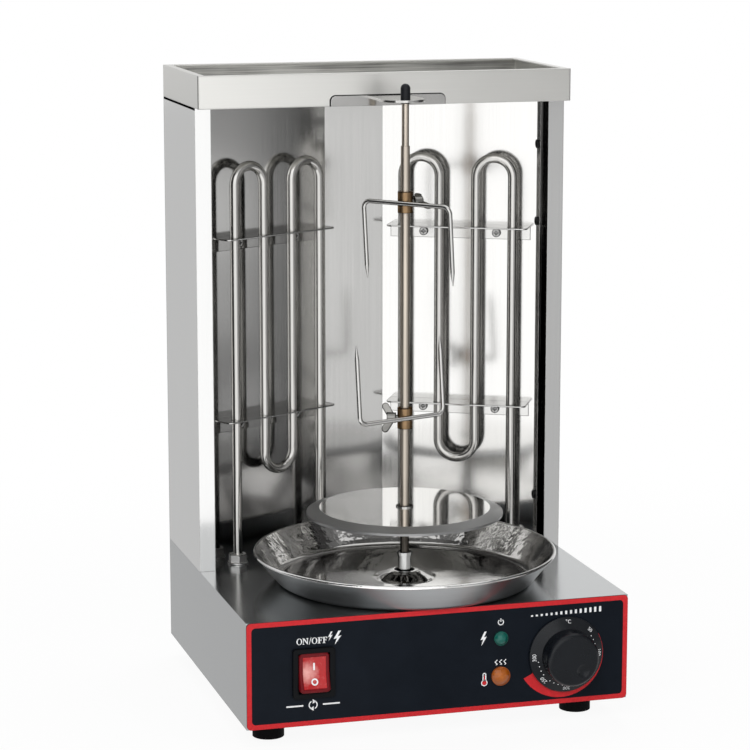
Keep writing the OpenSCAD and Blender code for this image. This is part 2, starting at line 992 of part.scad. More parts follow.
module upper_heater_clips() {
  for (side = [-1, 1])
    heater_clip(side, clip_upper);
}

module lower_heater_clips() {
  for (side = [-1, 1])
    heater_clip(side, clip_lower);
}

module clip_screws() {
  color("gainsboro")
  at_clip_screws()
    translate([0, 0, clip_t])
      pan_screw(small_screw_d, small_screw_l);
}

// Rocker switch
module switch_body() {
  well_w = rocker_w + 2 * well_gap;
  well_h = rocker_h + 2 * well_gap;
  color([0.12, 0.12, 0.12])
  translate([switch_x, panel_front, switch_z])
    difference() {
      to_front() {
        linear_extrude(bezel_t)
          rounded_rect(bezel_w, bezel_h, 2);
        translate([0, 0, -housing_depth])
          linear_extrude(housing_depth)
            square([housing_w, housing_h], center = true);
        for (z = [-1, 0, 1])
          translate([-blade_w / 2, blade_pitch * z - blade_t / 2, -housing_depth - blade_l])
            cube([blade_w, blade_t, blade_l]);
      }
      to_front()
        translate([-well_w / 2, -well_h / 2, bezel_t - well_depth])
          cube([well_w, well_h, well_depth + cut]);
      translate([-rocker_w / 2 - trunnion_l, pivot_y - panel_front, 0])
        rotate([0, 90, 0])
          cylinder(d = trunnion_d + 2 * run_fit, h = rocker_w + 2 * trunnion_l);
    }
}

module switch_rocker() {
  color([0.8, 0.1, 0.1])
  translate([switch_x, pivot_y, switch_z])
    rotate([-rocker_tilt, 0, 0]) {
      translate([-rocker_w / 2, 0, 0])
        rotate([90, 0, 90])
          linear_extrude(rocker_w)
            intersection() {
              circle(rocker_r);
              polygon([[-rocker_rise, rocker_r], [-rocker_valley, 0], [-rocker_rise, -rocker_r],
                [rocker_back, -rocker_r], [rocker_back, rocker_r]]);
            }
      translate([-rocker_w / 2 - trunnion_l + run_fit, 0, 0])
        rotate([0, 90, 0])
          cylinder(d = trunnion_d, h = rocker_w + 2 * (trunnion_l - run_fit));
    }
}

// Lamps
module lamp_lens(lens_d, z) {
  dome_edge = lens_d / 2 - lens_ledge;
  dome_r = (dome_edge ^ 2 + lens_rise ^ 2) / (2 * lens_rise);
  translate([lamp_x, panel_front, z])
    to_front()
      rotate_extrude() {
        square([lens_d / 2, lens_rim_t]);
        intersection() {
          translate([0, lens_rim_t + lens_rise - dome_r])
            circle(dome_r);
          translate([0, lens_rim_t])
            square([lens_d, lens_rise]);
        }
        translate([0, -lens_stem_l])
          square([lens_stem_d / 2, lens_stem_l]);
      }
}

module green_lamp_lens() {
  color([0.1, 0.5, 0.38])
  lamp_lens(green_d, green_z);
}

module amber_lamp_lens() {
  color([0.7, 0.38, 0.14])
  lamp_lens(amber_d, amber_z);
}

// Repeats its children at the two lamps, with the lens diameter in $lens_d
module at_lamps(y) {
  for (lamp = [[green_d, green_z], [amber_d, amber_z]])
    translate([lamp_x, y, lamp[1]]) {
      $lens_d = lamp[0];
      children();
    }
}

module lamp_barrels() {
  color("dimgray")
  at_lamps(panel_front)
    to_back()
      difference() {
        cylinder(d = barrel_d($lens_d), h = barrel_l);
        translate([0, 0, -cut])
          cylinder(d = lens_stem_d + 2 * seat_fit, h = barrel_l - barrel_end + cut);
      }
}

module lamp_nuts() {
  color("dimgray")
  at_lamps(base_front + sheet_t)
    to_back()
      hex_nut(barrel_d($lens_d) + 4, barrel_d($lens_d) + 2 * seat_fit, lamp_nut_t);
}

// Thermostat and knob
module at_knob(y) {
  translate([knob_x, y, knob_z])
    to_front()
      children();
}

// Shaft with one flat side
module flat_shaft(d, flat, h) {
  intersection() {
    cylinder(d = d, h = h);
    translate([-d, -d, 0])
      cube([2 * d, 1.5 * d - flat, h]);
  }
}

module control_knob() {
  rim_r = knob_d / 2 - knob_edge_r;
  color([0.1, 0.1, 0.11])
  at_knob(panel_front)
    difference() {
      rotate_extrude() {
        polygon([[0, knob_gap], [skirt_d / 2, knob_gap], [skirt_d / 2, skirt_edge + knob_gap],
          [knob_d / 2, skirt_h], [knob_d / 2, knob_l - knob_edge_r], [rim_r, knob_l - knob_edge_r],
          [rim_r, knob_l], [0, knob_l]]);
        intersection() {
          translate([rim_r, knob_l - knob_edge_r])
            circle(knob_edge_r);
          translate([0, knob_l - knob_edge_r])
            square([knob_d, knob_edge_r]);
        }
      }
      ring(knob_d - 2 * knob_wall, boss_d, knob_l - knob_edge_r);
      cylinder(d = boss_d + cut, h = boss_gap);
      translate([0, 0, boss_gap - cut])
        flat_shaft(
          spindle_d + 2 * seat_fit,
          spindle_flat - seat_fit,
          spindle_out + seat_fit - boss_gap + cut);
      rotate(dimple_turn)
        translate([dimple_at, 0, knob_l + dimple_r - dimple_depth])
          sphere(dimple_r);
    }
}

module thermostat_spindle() {
  color("gainsboro")
  at_knob(panel_front) {
    translate([0, 0, boss_gap])
      flat_shaft(spindle_d, spindle_flat, spindle_out - boss_gap);
    translate([0, 0, -spindle_in])
      cylinder(d = spindle_d, h = spindle_in + boss_gap);
  }
}

module thermostat_body() {
  inside = panel_t + sheet_t;
  color("lightgray")
  at_knob(panel_front)
    difference() {
      union() {
        translate([0, 0, -inside])
          cylinder(d = thermo_bush_d, h = inside + bush_out);
        translate([-thermo_w / 2, -thermo_h / 2, -inside - thermo_depth])
          cube([thermo_w, thermo_h, thermo_depth]);
        for (x = [-1, 1])
          translate([x * thermo_blade_x - blade_w / 2, thermo_blade_z, -inside - thermo_depth - blade_l])
            cube([blade_w, blade_t, blade_l]);
      }
      translate([0, 0, -spindle_in - run_fit])
        cylinder(d = spindle_d + 2 * run_fit, h = spindle_in + bush_out + cut);
    }
}

module thermostat_nut() {
  color("gainsboro")
  at_knob(panel_front)
    hex_nut(thermo_nut_hex, thermo_bush_d + 2 * seat_fit, thermo_nut_t);
}

// Capillary from the back of the thermostat, up to the bulb under the base top
module thermostat_bulb() {
  start_y = base_front + sheet_t + thermo_depth;
  bulb_z = base_under - bulb_d / 2;
  climb = bulb_z - knob_z - 2 * capillary_bend;
  color([0.72, 0.45, 0.2])
  translate([knob_x, start_y, knob_z]) {
    to_back()
      cylinder(d = capillary_d, h = capillary_run);
    translate([0, capillary_run, capillary_bend])
      rotate([0, 90, 0])
        rotate_extrude(angle = 90)
          translate([capillary_bend, 0])
            circle(d = capillary_d);
    translate([0, capillary_run + capillary_bend, capillary_bend])
      cylinder(d = capillary_d, h = climb);
    translate([0, capillary_run + 2 * capillary_bend, capillary_bend + climb])
      rotate([0, 90, 0])
        rotate([0, 0, 180])
          rotate_extrude(angle = 90)
            translate([capillary_bend, 0])
              circle(d = capillary_d);
    translate([0, capillary_run + 2 * capillary_bend, 2 * capillary_bend + climb])
      to_back()
        cylinder(d = bulb_d, h = bulb_l);
  }
}

// Drive
module motor() {
  color("gray")
  translate([0, axis_y, gearbox_top - gearbox_h - motor_h])
    cylinder(d = motor_d, h = motor_h);
}

module gearbox() {
  color("lightgray")
  translate([0, axis_y, gearbox_top - gearbox_h])
    difference() {
      union() {
        cylinder(d = motor_d, h = gearbox_h);
        translate([0, 0, gearbox_h - gearbox_ear_t])
          linear_extrude(gearbox_ear_t)
            bar([-motor_screw_pitch / 2, 0], [motor_screw_pitch / 2, 0], gearbox_ear_d / 2);
      }
      translate([0, 0, gearbox_h - shaft_in_gearbox - run_fit])
        cylinder(d = shaft_d + 2 * run_fit, h = shaft_in_gearbox + cut);
      for (x = [-1, 1])
        translate([x * motor_screw_pitch / 2, 0, gearbox_h - gearbox_ear_t - cut])
          cylinder(d = small_screw_d, h = gearbox_ear_t + 2 * cut);
    }
}

// Hat-shaped bracket that hangs the gearbox under the base top
module motor_bracket() {
  leg_h = base_under - gearbox_top;
  color("silver")
  translate([0, axis_y - motor_bracket_w / 2, gearbox_top])
    difference() {
      union() {
        translate([-motor_leg_x, 0, 0])
          cube([2 * motor_leg_x, motor_bracket_w, motor_bracket_t]);
        for (side = [-1, 1])
          on_side(side) {
            translate([-motor_leg_x, 0, 0])
              cube([motor_bracket_t, motor_bracket_w, leg_h]);
            translate([-motor_leg_x - motor_flange, 0, leg_h - motor_bracket_t])
              cube([motor_flange + motor_bracket_t, motor_bracket_w, motor_bracket_t]);
          }
      }
      translate([0, motor_bracket_w / 2, -cut])
        cylinder(d = coupling_hub_d + 4, h = motor_bracket_t + 2 * cut);
      for (x = [-1, 1])
        translate([x * motor_screw_pitch / 2, motor_bracket_w / 2, -cut])
          cylinder(d = small_screw_d + 2 * hole_fit, h = motor_bracket_t + 2 * cut);
      for (x = [-1, 1])
        translate([x * (motor_leg_x + motor_flange / 2), motor_bracket_w / 2, leg_h - motor_bracket_t - cut])
          cylinder(d = small_screw_d, h = motor_bracket_t + 2 * cut);
    }
}

module motor_screws() {
  color("gainsboro")
  for (x = [-1, 1]) {
    translate([x * motor_screw_pitch / 2, axis_y, motor_bracket_top])
      pan_screw(small_screw_d, small_screw_l);
    translate([x * (motor_leg_x + motor_flange / 2), axis_y, base_under - motor_bracket_t])
      mirror([0, 0, 1])
        pan_screw(small_screw_d, motor_bracket_t + sheet_t);
  }
}

module motor_shaft() {
  color("gainsboro")
  translate([0, axis_y, gearbox_top - shaft_in_gearbox])
    cylinder(d = shaft_d, h = shaft_top - gearbox_top + shaft_in_gearbox);
}

module drive_coupling() {
  screw_z = (coupling_low + hub_top_z) / 2;
  ring_h = 2.4;
  color("silver")
  difference() {
    translate([0, axis_y, 0]) {
      translate([0, 0, coupling_low])
        cylinder(d = coupling_hub_d, h = hub_top_z - coupling_low);
      translate([0, 0, coupling_low])
        cylinder(d = coupling_d, h = coupling_top - coupling_low);
      translate([0, 0, coupling_top - ring_h])
        cylinder(d = coupling_ring_d, h = ring_h);
    }
    translate([0, axis_y, coupling_low - cut])
      cylinder(d = shaft_d + 2 * seat_fit, h = shaft_top - coupling_low + cut);
    translate([-tang_w / 2 - 2 * run_fit, axis_y - tang_w / 2 - 2 * run_fit, coupling_top - socket_depth])
      cube([tang_w + 4 * run_fit, tang_w + 4 * run_fit, socket_depth + cut]);
    translate([0, axis_y, screw_z])
      to_front()
        cylinder(d = small_screw_d + 2 * seat_fit, h = coupling_hub_d);
  }
}

module coupling_screw() {
  start = shaft_d / 2 + seat_fit;
  color("dimgray")
  translate([0, axis_y - start, (coupling_low + hub_top_z) / 2])
    to_front()
      cylinder(d = small_screw_d, h = coupling_hub_d / 2 - start);
}

module shaft_bush() {
  bore_d = coupling_d + 2 * run_fit;
  color("ivory")
  translate([0, axis_y, base_top]) {
    ring(bush_flange_d, bore_d, bush_flange_t);
    translate([0, 0, -sheet_t - bush_depth / 2])
      ring(bush_d - 2 * seat_fit, bore_d, sheet_t + bush_depth / 2);
  }
}

// Drip pan
module drip_pan() {
  hole_r = pan_hole_d / 2;
  hub_r = pan_hub_d / 2;
  floor_r = pan_floor_d / 2;
  rim_r = (pan_d - pan_bead_d) / 2;
  rim_z = pan_h - pan_bead_d / 2;
  corner = [floor_r, pan_corner_r];
  rim = [rim_r, rim_z];
  reach = rim - corner;
  wall_turn = atan2(reach[1], reach[0]) - acos(pan_corner_r / norm(reach));
  wall_t = pan_t * [cos(wall_turn), sin(wall_turn)];
  turns = [for (i = [0 : 5]) -90 + (90 + wall_turn) * i / 5];
  dome_h = pan_hub_h - pan_t;
  dome = [for (i = [0 : 6]) [hole_r + (hub_r - hole_r) * i / 6, dome_h * (1 + cos(30 * i)) / 2]];
  color("gainsboro")
  translate([0, axis_y, base_top])
    rotate_extrude() {
      polygon(concat(
        dome,
        [for (a = turns) corner + pan_corner_r * [cos(a), sin(a)]],
        [rim, rim - wall_t],
        [for (i = [5 : -1 : 0]) corner + (pan_corner_r - pan_t) * [cos(turns[i]), sin(turns[i])]],
        [for (i = [6 : -1 : 0]) dome[i] + [0, pan_t]]));
      translate(rim)
        circle(d = pan_bead_d);
    }
}

// Skewer
module skewer_rod() {
  color([0.6, 0.55, 0.5])
  translate([0, axis_y, 0])
    difference() {
      union() {
        translate([-tang_w / 2, -tang_w / 2, coupling_top - tang_l])
          cube([tang_w, tang_w, tang_l]);
        translate([0, 0, coupling_top])
          cylinder(d = rod_d, h = shoulder_z - coupling_top);
        translate([0, 0, shoulder_z])
          cylinder(d = rod_tip_d, h = cap_z + cap_h - cap_d / 2 - shoulder_z);
      }
      translate([-rod_d, 0, hub_pin_z])
        rotate([0, 90, 0])
          cylinder(d = hub_pin_d + 2 * seat_fit, h = 2 * rod_d);
    }
}

module skewer_cap() {
  color([0.07, 0.07, 0.07])
  translate([0, axis_y, cap_z])
    difference() {
      union() {
        cylinder(d = cap_d, h = cap_h - cap_d / 2);
        translate([0, 0, cap_h - cap_d / 2])
          sphere(d = cap_d);
      }
      translate([0, 0, -cut])
        cylinder(d = rod_tip_d + 2 * seat_fit, h = cap_h - cap_d / 2 + seat_fit + cut);
    }
}

module meat_disc() {
  hole_r = hub_sleeve_d / 2 + seat_fit;
  color("gainsboro")
  translate([0, axis_y, disc_top])
    rotate_extrude()
      polygon([[hole_r, 0], [disc_flat_d / 2, 0], [disc_d / 2, -disc_drop], [disc_d / 2, -disc_drop - disc_t],
        [disc_flat_d / 2, -disc_t], [hole_r, -disc_t]]);
}

// Sleeve through the disc, pinned to the rod
module disc_hub() {
  color("lightgray")
  translate([0, axis_y, 0]) {
    difference() {
      union() {
        translate([0, 0, disc_top])
          cylinder(d = hub_flange_d, h = hub_flange_t);
        translate([0, 0, disc_top - hub_below])
          cylinder(d = hub_sleeve_d, h = hub_below);
      }
      translate([0, 0, disc_top - hub_below - cut])
        cylinder(d = rod_d + 2 * seat_fit, h = hub_below + hub_flange_t + 2 * cut);
    }
    translate([-hub_sleeve_d / 2, 0, hub_pin_z])
      rotate([0, 90, 0])
        cylinder(d = hub_pin_d, h = hub_sleeve_d);
  }
}

module disc_nut() {
  color("lightgray")
  translate([0, axis_y, disc_top - disc_t - hub_nut_h])
    hex_nut(hub_nut_hex, hub_sleeve_d + 2 * seat_fit, hub_nut_h);
}

// Frame of a fork: X along the cross wire, prongs toward +Z, origin in the middle of the collar
module at_fork(rise, turn, flip) {
  translate([0, axis_y, base_top + rise])
    rotate(turn)
      mirror([0, 0, flip])
        children();
}

// Wire bent to two prongs, with its cross piece in the collar's seat
module fork_wire(shift) {
  straight = fork_w / 2 - fork_bend_r;
  translate([shift, -collar_d / 2, cross_offset])
    rotate([-prong_tilt, 0, 0]) {
      translate([-straight, 0, 0])
        rotate([0, 90, 0])
          cylinder(d = wire_d, h = 2 * straight);
      for (side = [-1, 1])
        on_side(side) {
          translate([-straight, 0, fork_bend_r])
            rotate([90, 0, 0])
              rotate([0, 0, 180])
                rotate_extrude(angle = 90)
                  translate([fork_bend_r, 0])
                    circle(d = wire_d);
          translate([-fork_w / 2, 0, fork_bend_r])
            cylinder(d = wire_d, h = prong_l - fork_bend_r - prong_point_l);
          translate([-fork_w / 2, 0, prong_l - prong_point_l])
            cylinder(d1 = wire_d, d2 = prong_point_d, h = prong_point_l);
        }
    }
}

module fork_collar(screw_turn) {
  difference() {
    translate([0, 0, -collar_h / 2])
      cylinder(d = collar_d, h = collar_h);
    translate([0, 0, -collar_h / 2 - cut])
      cylinder(d = rod_d + 2 * run_fit, h = collar_h + 2 * cut);
    translate([-collar_d, -collar_d / 2, cross_offset])
      rotate([0, 90, 0])
        cylinder(d = wire_d + 2 * seat_fit, h = 2 * collar_d);
    rotate(screw_turn)
      rotate([0, 90, 0])
        cylinder(d = wing_thread_d + 2 * run_fit, h = collar_d);
  }
}

// Wing screw along X, with its tip at the rod
module wing_screw(screw_turn, roll) {
  tip = rod_d / 2 + 2 * run_fit;
  rotate(screw_turn)
    rotate([roll, 0, 0]) {
      translate([tip, 0, 0])
        rotate([0, 90, 0])
          cylinder(d = wing_thread_d, h = wing_start + wing_hub_l - tip);
      translate([wing_start, 0, 0])
        rotate([0, 90, 0])
          cylinder(d = wing_hub_d, h = wing_hub_l);
      translate([0, wing_t / 2, 0])
        rotate([90, 0, 0])
          linear_extrude(wing_t)
            for (side = [-1, 1])
              bar([wing_start + wing_tip_r, 0],
                [wing_start + wing_hub_l + 1, side * (wing_reach - wing_tip_r)], wing_tip_r);
    }
}

module upper_fork() {
  color("silver")
  at_fork(upper_fork_rise, upper_fork_turn, 1)
    fork_wire(upper_fork_shift);
}

module upper_collar() {
  color([0.6, 0.42, 0.25])
  at_fork(upper_fork_rise, upper_fork_turn, 1)
    fork_collar(upper_screw_turn);
}

module upper_wing_screw() {
  color("silver")
  at_fork(upper_fork_rise, upper_fork_turn, 1)
    wing_screw(upper_screw_turn, upper_wing_roll);
}

module lower_fork() {
  color("silver")
  at_fork(lower_fork_rise, lower_fork_turn, 0)
    fork_wire(lower_fork_shift);
}

module lower_collar() {
  color([0.6, 0.42, 0.25])
  at_fork(lower_fork_rise, lower_fork_turn, 0)
    fork_collar(lower_screw_turn);
}

module lower_wing_screw() {
  color("silver")
  at_fork(lower_fork_rise, lower_fork_turn, 0)
    wing_screw(lower_screw_turn, lower_wing_roll);
}

// Wiring inside the base
module terminal_block() {
  pole_pitch = block_w / block_poles;
  color("ivory")
  translate([block_x, block_y, plate_top])
    difference() {
      cube([block_w, block_d, block_h]);
      for (i = [0 : block_poles - 1])
        translate([(i + 0.5) * pole_pitch, -cut, block_h / 3])
          to_back()
            cylinder(d = wire_hole_d, h = block_d + 2 * cut);
      for (i = [0 : block_poles - 1], y = [0.25, 0.75])
        translate([(i + 0.5) * pole_pitch, y * block_d, block_h / 3])
          cylinder(d = clamp_hole_d, h = block_h);
    }
}

// Gland with its lock nut in the back of the base
module cable_gland() {
  color([0.1, 0.1, 0.1])
  translate([gland_x, base_back, gland_z])
    to_back() {
      difference() {
        union() {
          linear_extrude(gland_flange_t)
            hexagon(gland_hex);
          translate([0, 0, -sheet_t - gland_in])
            cylinder(d = gland_thread_d, h = sheet_t + gland_in);
          cylinder(d = gland_dome_d, h = gland_out);
        }
        translate([0, 0, -sheet_t - gland_in - cut])
          cylinder(d = gland_bore_d, h = sheet_t + gland_in + gland_out + 2 * cut);
      }
      translate([0, 0, -sheet_t - gland_nut_t])
        hex_nut(gland_hex, gland_thread_d + 2 * seat_fit, gland_nut_t);
    }
}

base_shell();
bottom_plate();
control_panel();
rubber_feet();
foot_screws();
foot_nuts();
left_side_wall();
right_side_wall();
rear_cover();
case_screws();
left_reflector();
center_reflector();
right_reflector();
reflector_screws();
top_tray();
tray_screws();
skewer_bracket();
left_heater();
right_heater();
heater_fittings();
heater_washers();
heater_locknuts();
heater_beads();
heater_pins();
upper_heater_clips();
lower_heater_clips();
clip_screws();
switch_body();
switch_rocker();
green_lamp_lens();
amber_lamp_lens();
lamp_barrels();
lamp_nuts();
thermostat_body();
thermostat_nut();
thermostat_bulb();
thermostat_spindle();
control_knob();
motor();
gearbox();
motor_bracket();
motor_screws();
motor_shaft();
drive_coupling();
coupling_screw();
shaft_bush();
drip_pan();
skewer_rod();
skewer_cap();
meat_disc();
disc_hub();
disc_nut();
upper_fork();
upper_collar();
upper_wing_screw();
lower_fork();
lower_collar();
lower_wing_screw();
terminal_block();
cable_gland();
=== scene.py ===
"""Looks of the vertical kebab grill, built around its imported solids."""

import math
from functools import reduce

import bpy
from mathutils import Matrix, Vector


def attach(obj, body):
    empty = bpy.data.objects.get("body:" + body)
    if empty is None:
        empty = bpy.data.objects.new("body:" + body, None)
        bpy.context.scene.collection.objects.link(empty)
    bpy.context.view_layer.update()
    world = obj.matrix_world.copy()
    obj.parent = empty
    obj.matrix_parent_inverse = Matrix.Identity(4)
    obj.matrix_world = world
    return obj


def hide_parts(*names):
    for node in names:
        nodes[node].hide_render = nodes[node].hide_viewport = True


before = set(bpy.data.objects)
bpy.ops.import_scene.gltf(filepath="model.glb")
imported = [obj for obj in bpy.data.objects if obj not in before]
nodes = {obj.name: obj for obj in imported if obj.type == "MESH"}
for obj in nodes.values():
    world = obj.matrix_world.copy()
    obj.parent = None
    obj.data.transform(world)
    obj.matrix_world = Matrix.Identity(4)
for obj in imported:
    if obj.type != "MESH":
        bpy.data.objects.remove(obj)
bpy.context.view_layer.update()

MM = 0.001

# Places on the solids: in millimetres where the name ends in MM, else in metres
PANEL_Y_MM = -115.45
PANEL_Y = PANEL_Y_MM * MM
SPIT = (0.0, -32.95 * MM)
SWITCH = Vector((-85.8, -114.45, 51.4)) * MM
KNOB_X_MM = 86.3
KNOB_Z_MM = 50.0
KNOB = Vector((KNOB_X_MM, PANEL_Y_MM, KNOB_Z_MM)) * MM
LAMP_X_MM = 41.2
LENS_X = LAMP_X_MM * MM - 0.001
LENS_Y = PANEL_Y - 0.004

# Places on the solids that the masks follow, in metres; a pair is a range over which a mask fades
POST_RETURN_X = (0.1196, 0.1198)
POST_FACE_Y = (0.0208, 0.0210)
UNDER_TRAY_Z = (0.4022, 0.4026)
OUTER_FACE_X = (0.1296, 0.1299)
TRAY_FRONT_Y = (0.0080, 0.0082)
TRAY_LIP_Y = (0.0086, 0.0100)
TRAY_BACK_Y = (0.1206, 0.1211)
TRAY_SIDE_X = (0.1284, 0.1290)
TRAY_TOP_Z = (0.4240, 0.4254)
TRAY_FLOOR_Z = (0.4053, 0.4060)
SEAM_MIDDLE_Y = 0.0091
SEAM_HALF = (0.0007, 0.0012)
FLANGE_CORNER_X = 0.0365
FLANGE_CORNER_Z = 0.4075
FLANGE_SHADOW = (0.0040, 0.0044)
REFLECTOR_FOOT_Z = (0.135, 0.172)
REFLECTOR_LEFT_X = (-0.010, 0.015)
ROD_FOOT_Z = (0.130, 0.136)
PAN_WALL_Z = (0.0885, 0.0930)
PAN_FRONT_Y = (-0.075, -0.045)
PAN_LEFT_X = (0.012, 0.032)
DISC_EDGE_RADIUS = (0.0575, 0.0578)

# The slanted reflectors' normal, their distance from the origin, and the painted shade on the tubes'
# sides before them
REFLECTOR_NORMAL = (-0.468, -0.884)
REFLECTOR_AT = 0.0922
HEATER_GAP = (0.0108 - REFLECTOR_AT, 0.0130 - REFLECTOR_AT)

# Cosines between which a rounded normal counts as an edge
EDGE_COSINE = (0.88, 0.98)

# How bright the places under painted shade, and the dark seams, stay, from 0 to 1
SHADED_RETURN = 0.23
SHADED_TRAY = 0.33
SHADED_TRAY_FLOOR = 0.5
CLEAN_SEAM = 0.15
SHADED_TUBE = 0.27
SHADED_ROD = 0.25

# Scales of noise: brushed and turned grain, smears, waves and dents
LEVEL_GRAIN = (14, 14, 1100)
UPRIGHT_GRAIN = (1100, 1100, 9)
TURNED_GRAIN = (1300, 1, 60)
SMEARS = (11, 11, 8)
WAVES = (9, 9, 6)
DENTS = (150, 150, 150)
NOISE_ROUGHNESS = 0.55

# Shares of grain and smears in a metal's tone, and the tones at which its colours stand
GRAIN_SHARE = 0.55
SMEAR_SHARE = 0.45
SHADE_AND_SEAM_TONE = 0.1
SHADE_AND_SEAM_END_TONE = 0.2
LOW_TONE = 0.34
MIDDLE_TONE = 0.5
HIGH_TONE = 0.66

# Depths of bumps, in metres
GRAIN_DEPTH = 0.00004
WAVE_DEPTH = 0.002
DENT_DEPTH = 0.0006
PLASTIC_DEPTH = 0.00008
LENS_DEPTH = 0.0001
INK_DEPTH = 0.00003

# Darkest colour under painted shade and in the tray's dark seams
SHADE_AND_SEAM_BLACK = (0.012, 0.012, 0.012)


class Look:
    """A node-based material, with short calls for the textures that feed its shader."""

    def __init__(self, name, metallic=0.0, **sockets):
        self.material = bpy.data.materials.new(name)
        self.material.use_nodes = True
        self.tree = self.material.node_tree
        self.shader = self.tree.nodes["Principled BSDF"]
        self.shader.inputs["Metallic"].default_value = metallic
        for socket, value in sockets.items():
            self.shader.inputs[socket.replace("_", " ")].default_value = value
        self.place = self.add("ShaderNodeTexCoord").outputs["Object"]
        self.normal = None

    def add(self, kind, **settings):
        made = self.tree.nodes.new(kind)
        for name, value in settings.items():
            setattr(made, name, value)
        return made

    def feed(self, source, target):
        self.tree.links.new(source, target)

    def maths(self, operation, *values):
        """One operation on numbers and sockets."""
        made = self.add("ShaderNodeMath", operation=operation)
        for i, value in enumerate(values):
            if isinstance(value, (int, float)):
                made.inputs[i].default_value = value
            else:
                self.feed(value, made.inputs[i])
        return made.outputs[0]

    def most(self, *values):
        return reduce(lambda a, b: self.maths("MAXIMUM", a, b), values)

    def least(self, *values):
        return reduce(lambda a, b: self.maths("MINIMUM", a, b), values)

    def length(self, u, v):
        """Length of a flat vector."""
        squares = self.maths("ADD", self.maths("MULTIPLY", u, u), self.maths("MULTIPLY", v, v))
        return self.maths("SQRT", squares)

    def noise(self, stretch, detail, place=None):
        mapping = self.add("ShaderNodeMapping")
        mapping.inputs["Scale"].default_value = stretch
        self.feed(place or self.place, mapping.inputs["Vector"])
        made = self.add("ShaderNodeTexNoise")
        made.inputs["Scale"].default_value = 1.0
        made.inputs["Detail"].default_value = detail
        made.inputs["Roughness"].default_value = NOISE_ROUGHNESS
        self.feed(mapping.outputs["Vector"], made.inputs["Vector"])
        return made.outputs["Fac"]

    def spread(self, value, low, high, start=0.3, stop=0.7, interpolation="LINEAR"):
        """Map a value from start and stop to low and high, and no further."""
        made = self.add("ShaderNodeMapRange", interpolation_type=interpolation)
        made.inputs["From Min"].default_value = start
        made.inputs["From Max"].default_value = stop
        made.inputs["To Min"].default_value = low
        made.inputs["To Max"].default_value = high
        self.feed(value, made.inputs["Value"])
        return made.outputs["Result"]

    def colours(self, value, stops):
        made = self.add("ShaderNodeValToRGB")
        ramp = made.color_ramp
        while len(ramp.elements) < len(stops):
            ramp.elements.new(1.0)
        for element, (at, colour) in zip(ramp.elements, stops):
            element.position = at
            element.color = (*colour, 1.0)
        self.feed(value, made.inputs["Fac"])
        return made.outputs["Color"]

    def bump(self, height, strength, distance):
        """Add a bump on top of the bumps and soft edges that are there."""
        made = self.add("ShaderNodeBump")
        made.inputs["Strength"].default_value = strength
        made.inputs["Distance"].default_value = distance
        self.feed(height, made.inputs["Height"])
        if self.normal is not None:
            self.feed(self.normal, made.inputs["Normal"])
        self.normal = made.outputs["Normal"]
        self.feed(self.normal, self.shader.inputs["Normal"])

    def rounded_normal(self, radius, samples):
        made = self.add("ShaderNodeBevel", samples=samples)
        made.inputs["Radius"].default_value = radius
        return made.outputs["Normal"]

    def soft_edges(self, radius):
        self.normal = self.rounded_normal(radius, samples=4)
        self.feed(self.normal, self.shader.inputs["Normal"])

    def split(self):
        made = self.add("ShaderNodeSeparateXYZ")
        self.feed(self.place, made.inputs[0])
        return made.outputs["X"], made.outputs["Y"], made.outputs["Z"]

    def radius(self, centre):
        """Distance from an upright axis."""
        x, y, _ = self.split()
        return self.length(self.maths("SUBTRACT", x, centre[0]), self.maths("SUBTRACT", y, centre[1]))

    def around(self, centre):
        """Coordinate for the grain of turned surfaces: distance from the axis, and height."""
        join = self.add("ShaderNodeCombineXYZ")
        self.feed(self.radius(centre), join.inputs["X"])
        self.feed(self.split()[2], join.inputs["Z"])
        return join.outputs[0]


def scaled(colour, k):
    return tuple(min(1.0, c * k) for c in colour)


def even(scale):
    return (scale, scale, scale)


